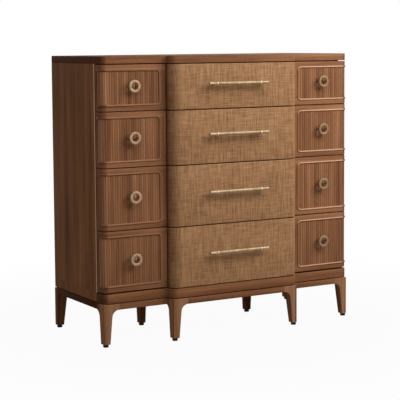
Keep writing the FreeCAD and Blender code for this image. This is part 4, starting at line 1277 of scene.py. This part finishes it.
for row in ROWS:
    low, high = node_box(f"centre_drawer_{row}_pull")
    make_piece(f"bar_pull_{row}", bar_pull((low[2] + high[2]) / 2), brushed_brass,
               f"centre_drawer_{row}", [f"centre_drawer_{row}_pull"], crease=BRASS_CREASE)

# %% [markdown]
# ## Floor and world
#
# The photograph is a catalogue picture on plain white. A white floor that only met lamplight would need so
# much of it that the wood would wash out. So the floor and the world are white only to rays from the camera
# and in mirrors. Near the chest a small share of the real floor shows through, and keeps its shadow.

# %% Stage
FLOOR_HALF, FLOOR_DROP = 15, 0.0002
SHADOW_NEAR, SHADOW_FAR, SHADOW_WHITE = 0.6, 2.2, 0.955
SKY_STRENGTH = 0.235
WHITE = (1, 1, 1, 1)
floor_line = np.array([(-1, -1), (1, -1), (1, 1), (-1, 1)]) * FLOOR_HALF
floor_points = np.column_stack([floor_line, np.full(4, -FLOOR_DROP)])
floor_mesh = bpy.data.meshes.new("studio_floor")
floor_mesh.from_pydata(floor_points.tolist(), [], [(0, 1, 2, 3)])
studio_floor = bpy.data.objects.new("studio_floor", floor_mesh)
bpy.context.scene.collection.objects.link(studio_floor)


def seen_white(tree):
    """One for rays that come from the camera, a mirror or glass, and zero for light that bounces."""
    ray = node(tree, "ShaderNodeLightPath").outputs
    seen = maths(tree, "MAXIMUM", ray["Is Camera Ray"], ray["Is Glossy Ray"])
    return maths(tree, "MAXIMUM", seen, ray["Is Transmission Ray"])


pale_floor, tree, shader = new_finish("pale_floor")
shader.inputs["Base Color"].default_value = colour(130, 128, 125)
shader.inputs["Roughness"].default_value = 0.9
shader.inputs["Specular IOR Level"].default_value = 0.0
glow = node(tree, "ShaderNodeEmission", {"Color": WHITE, "Strength": 1.0}).outputs[0]
place = node(tree, "ShaderNodeTexCoord").outputs["Object"]
away = node(tree, "ShaderNodeVectorMath", {0: place}, operation="LENGTH").outputs["Value"]
whiteness = spread(tree, away, SHADOW_NEAR, SHADOW_FAR, SHADOW_WHITE, 1.0)
share = maths(tree, "MULTIPLY", seen_white(tree), whiteness)
white = node(tree, "ShaderNodeMixShader", {0: share, 1: shader.outputs[0], 2: glow}).outputs[0]
tree.links.new(white, tree.nodes["Material Output"].inputs["Surface"])
floor_mesh.materials.append(pale_floor)

world = bpy.data.worlds.new("studio")
world.use_nodes = True
bpy.context.scene.world = world
tree = world.node_tree
sky = tree.nodes["Background"]
sky.inputs["Color"].default_value = WHITE
tree.links.new(chosen(tree, seen_white(tree), SKY_STRENGTH, 1.0), sky.inputs["Strength"])
print("stage: floor and world")

# %% [markdown]
# ## Lamps
#
# A studio lights such a piece with large soft lamps, and area lamps stand for those. A soft key lamp comes
# from the right and a weaker fill from the front. A narrow warm card on the left catches the panel's edge,
# and a fill at the back keeps the rear from going black. The dim sky does the rest.

# %% Lamps
WARM_WHITE, CARD_TINT = (1.0, 0.98, 0.95), (1.0, 0.87, 0.72)


def lamp(name, place, aim, size, power, tint=(1, 1, 1)):
    """A rectangular soft lamp at a place, turned towards a point."""
    light = bpy.data.lights.new(name, "AREA")
    light.shape, light.size, light.size_y = "RECTANGLE", *size
    light.energy, light.color = power, tint
    holder = bpy.data.objects.new(name, light)
    holder.location = place
    toward = np.array(aim) - np.array(place)
    toward /= np.linalg.norm(toward)
    heading = math.atan2(toward[0], toward[1])
    holder.rotation_euler = (math.pi / 2 + math.asin(toward[2]), 0, -heading)
    holder.visible_camera = False
    bpy.context.scene.collection.objects.link(holder)


lamp("key", (1.9, -2.0, 2.6), aim=(0.0, -0.2, 0.65), size=(2.0, 2.0), power=113, tint=WARM_WHITE)
lamp("front_fill", (-0.6, -2.4, 3.5), aim=(0.0, -0.2, 0.8), size=(1.8, 1.4), power=32)
lamp("left_card", (-2.6, -1.5, 0.8), aim=(-0.5, -0.2, 0.7), size=(0.35, 1.8), power=7, tint=CARD_TINT)
lamp("back_fill", (-0.6, 3.4, 2.2), aim=(0.0, 0.3, 0.6), size=(2.0, 1.5), power=45)
print("lamps: key, front fill, left card, back fill")

# %% [markdown]
# ## Camera
#
# The picture was taken from the left with a long lens at about the height of the top. The place, direction
# and lens come from matching the edges of the solid model to the photograph. A small shift keeps the
# uprights upright.

# %% Camera
YAW, PITCH, ROLL = 0.5287, 0.0891, -0.0069
CAMERA_PLACE = (-3.0693, -5.1921, 1.2926)
SENSOR_WIDTH, LENS_LENGTH, LENS_SHIFT = 36.0, 119.24, -0.1
lens = bpy.data.cameras.new("catalogue_camera")
lens.sensor_width, lens.lens, lens.shift_y = SENSOR_WIDTH, LENS_LENGTH, LENS_SHIFT
camera = bpy.data.objects.new("catalogue_camera", lens)
camera.location = CAMERA_PLACE
rolled, tipped = Quaternion((0, 0, 1), ROLL), Quaternion((1, 0, 0), math.pi / 2 - PITCH)
camera.rotation_euler = (Quaternion((0, 0, 1), -YAW) @ tipped @ rolled).to_euler()
bpy.context.scene.collection.objects.link(camera)
bpy.context.scene.camera = camera
bpy.context.scene.view_settings.view_transform = "Standard"
print("camera: %.0f mm lens" % lens.lens)
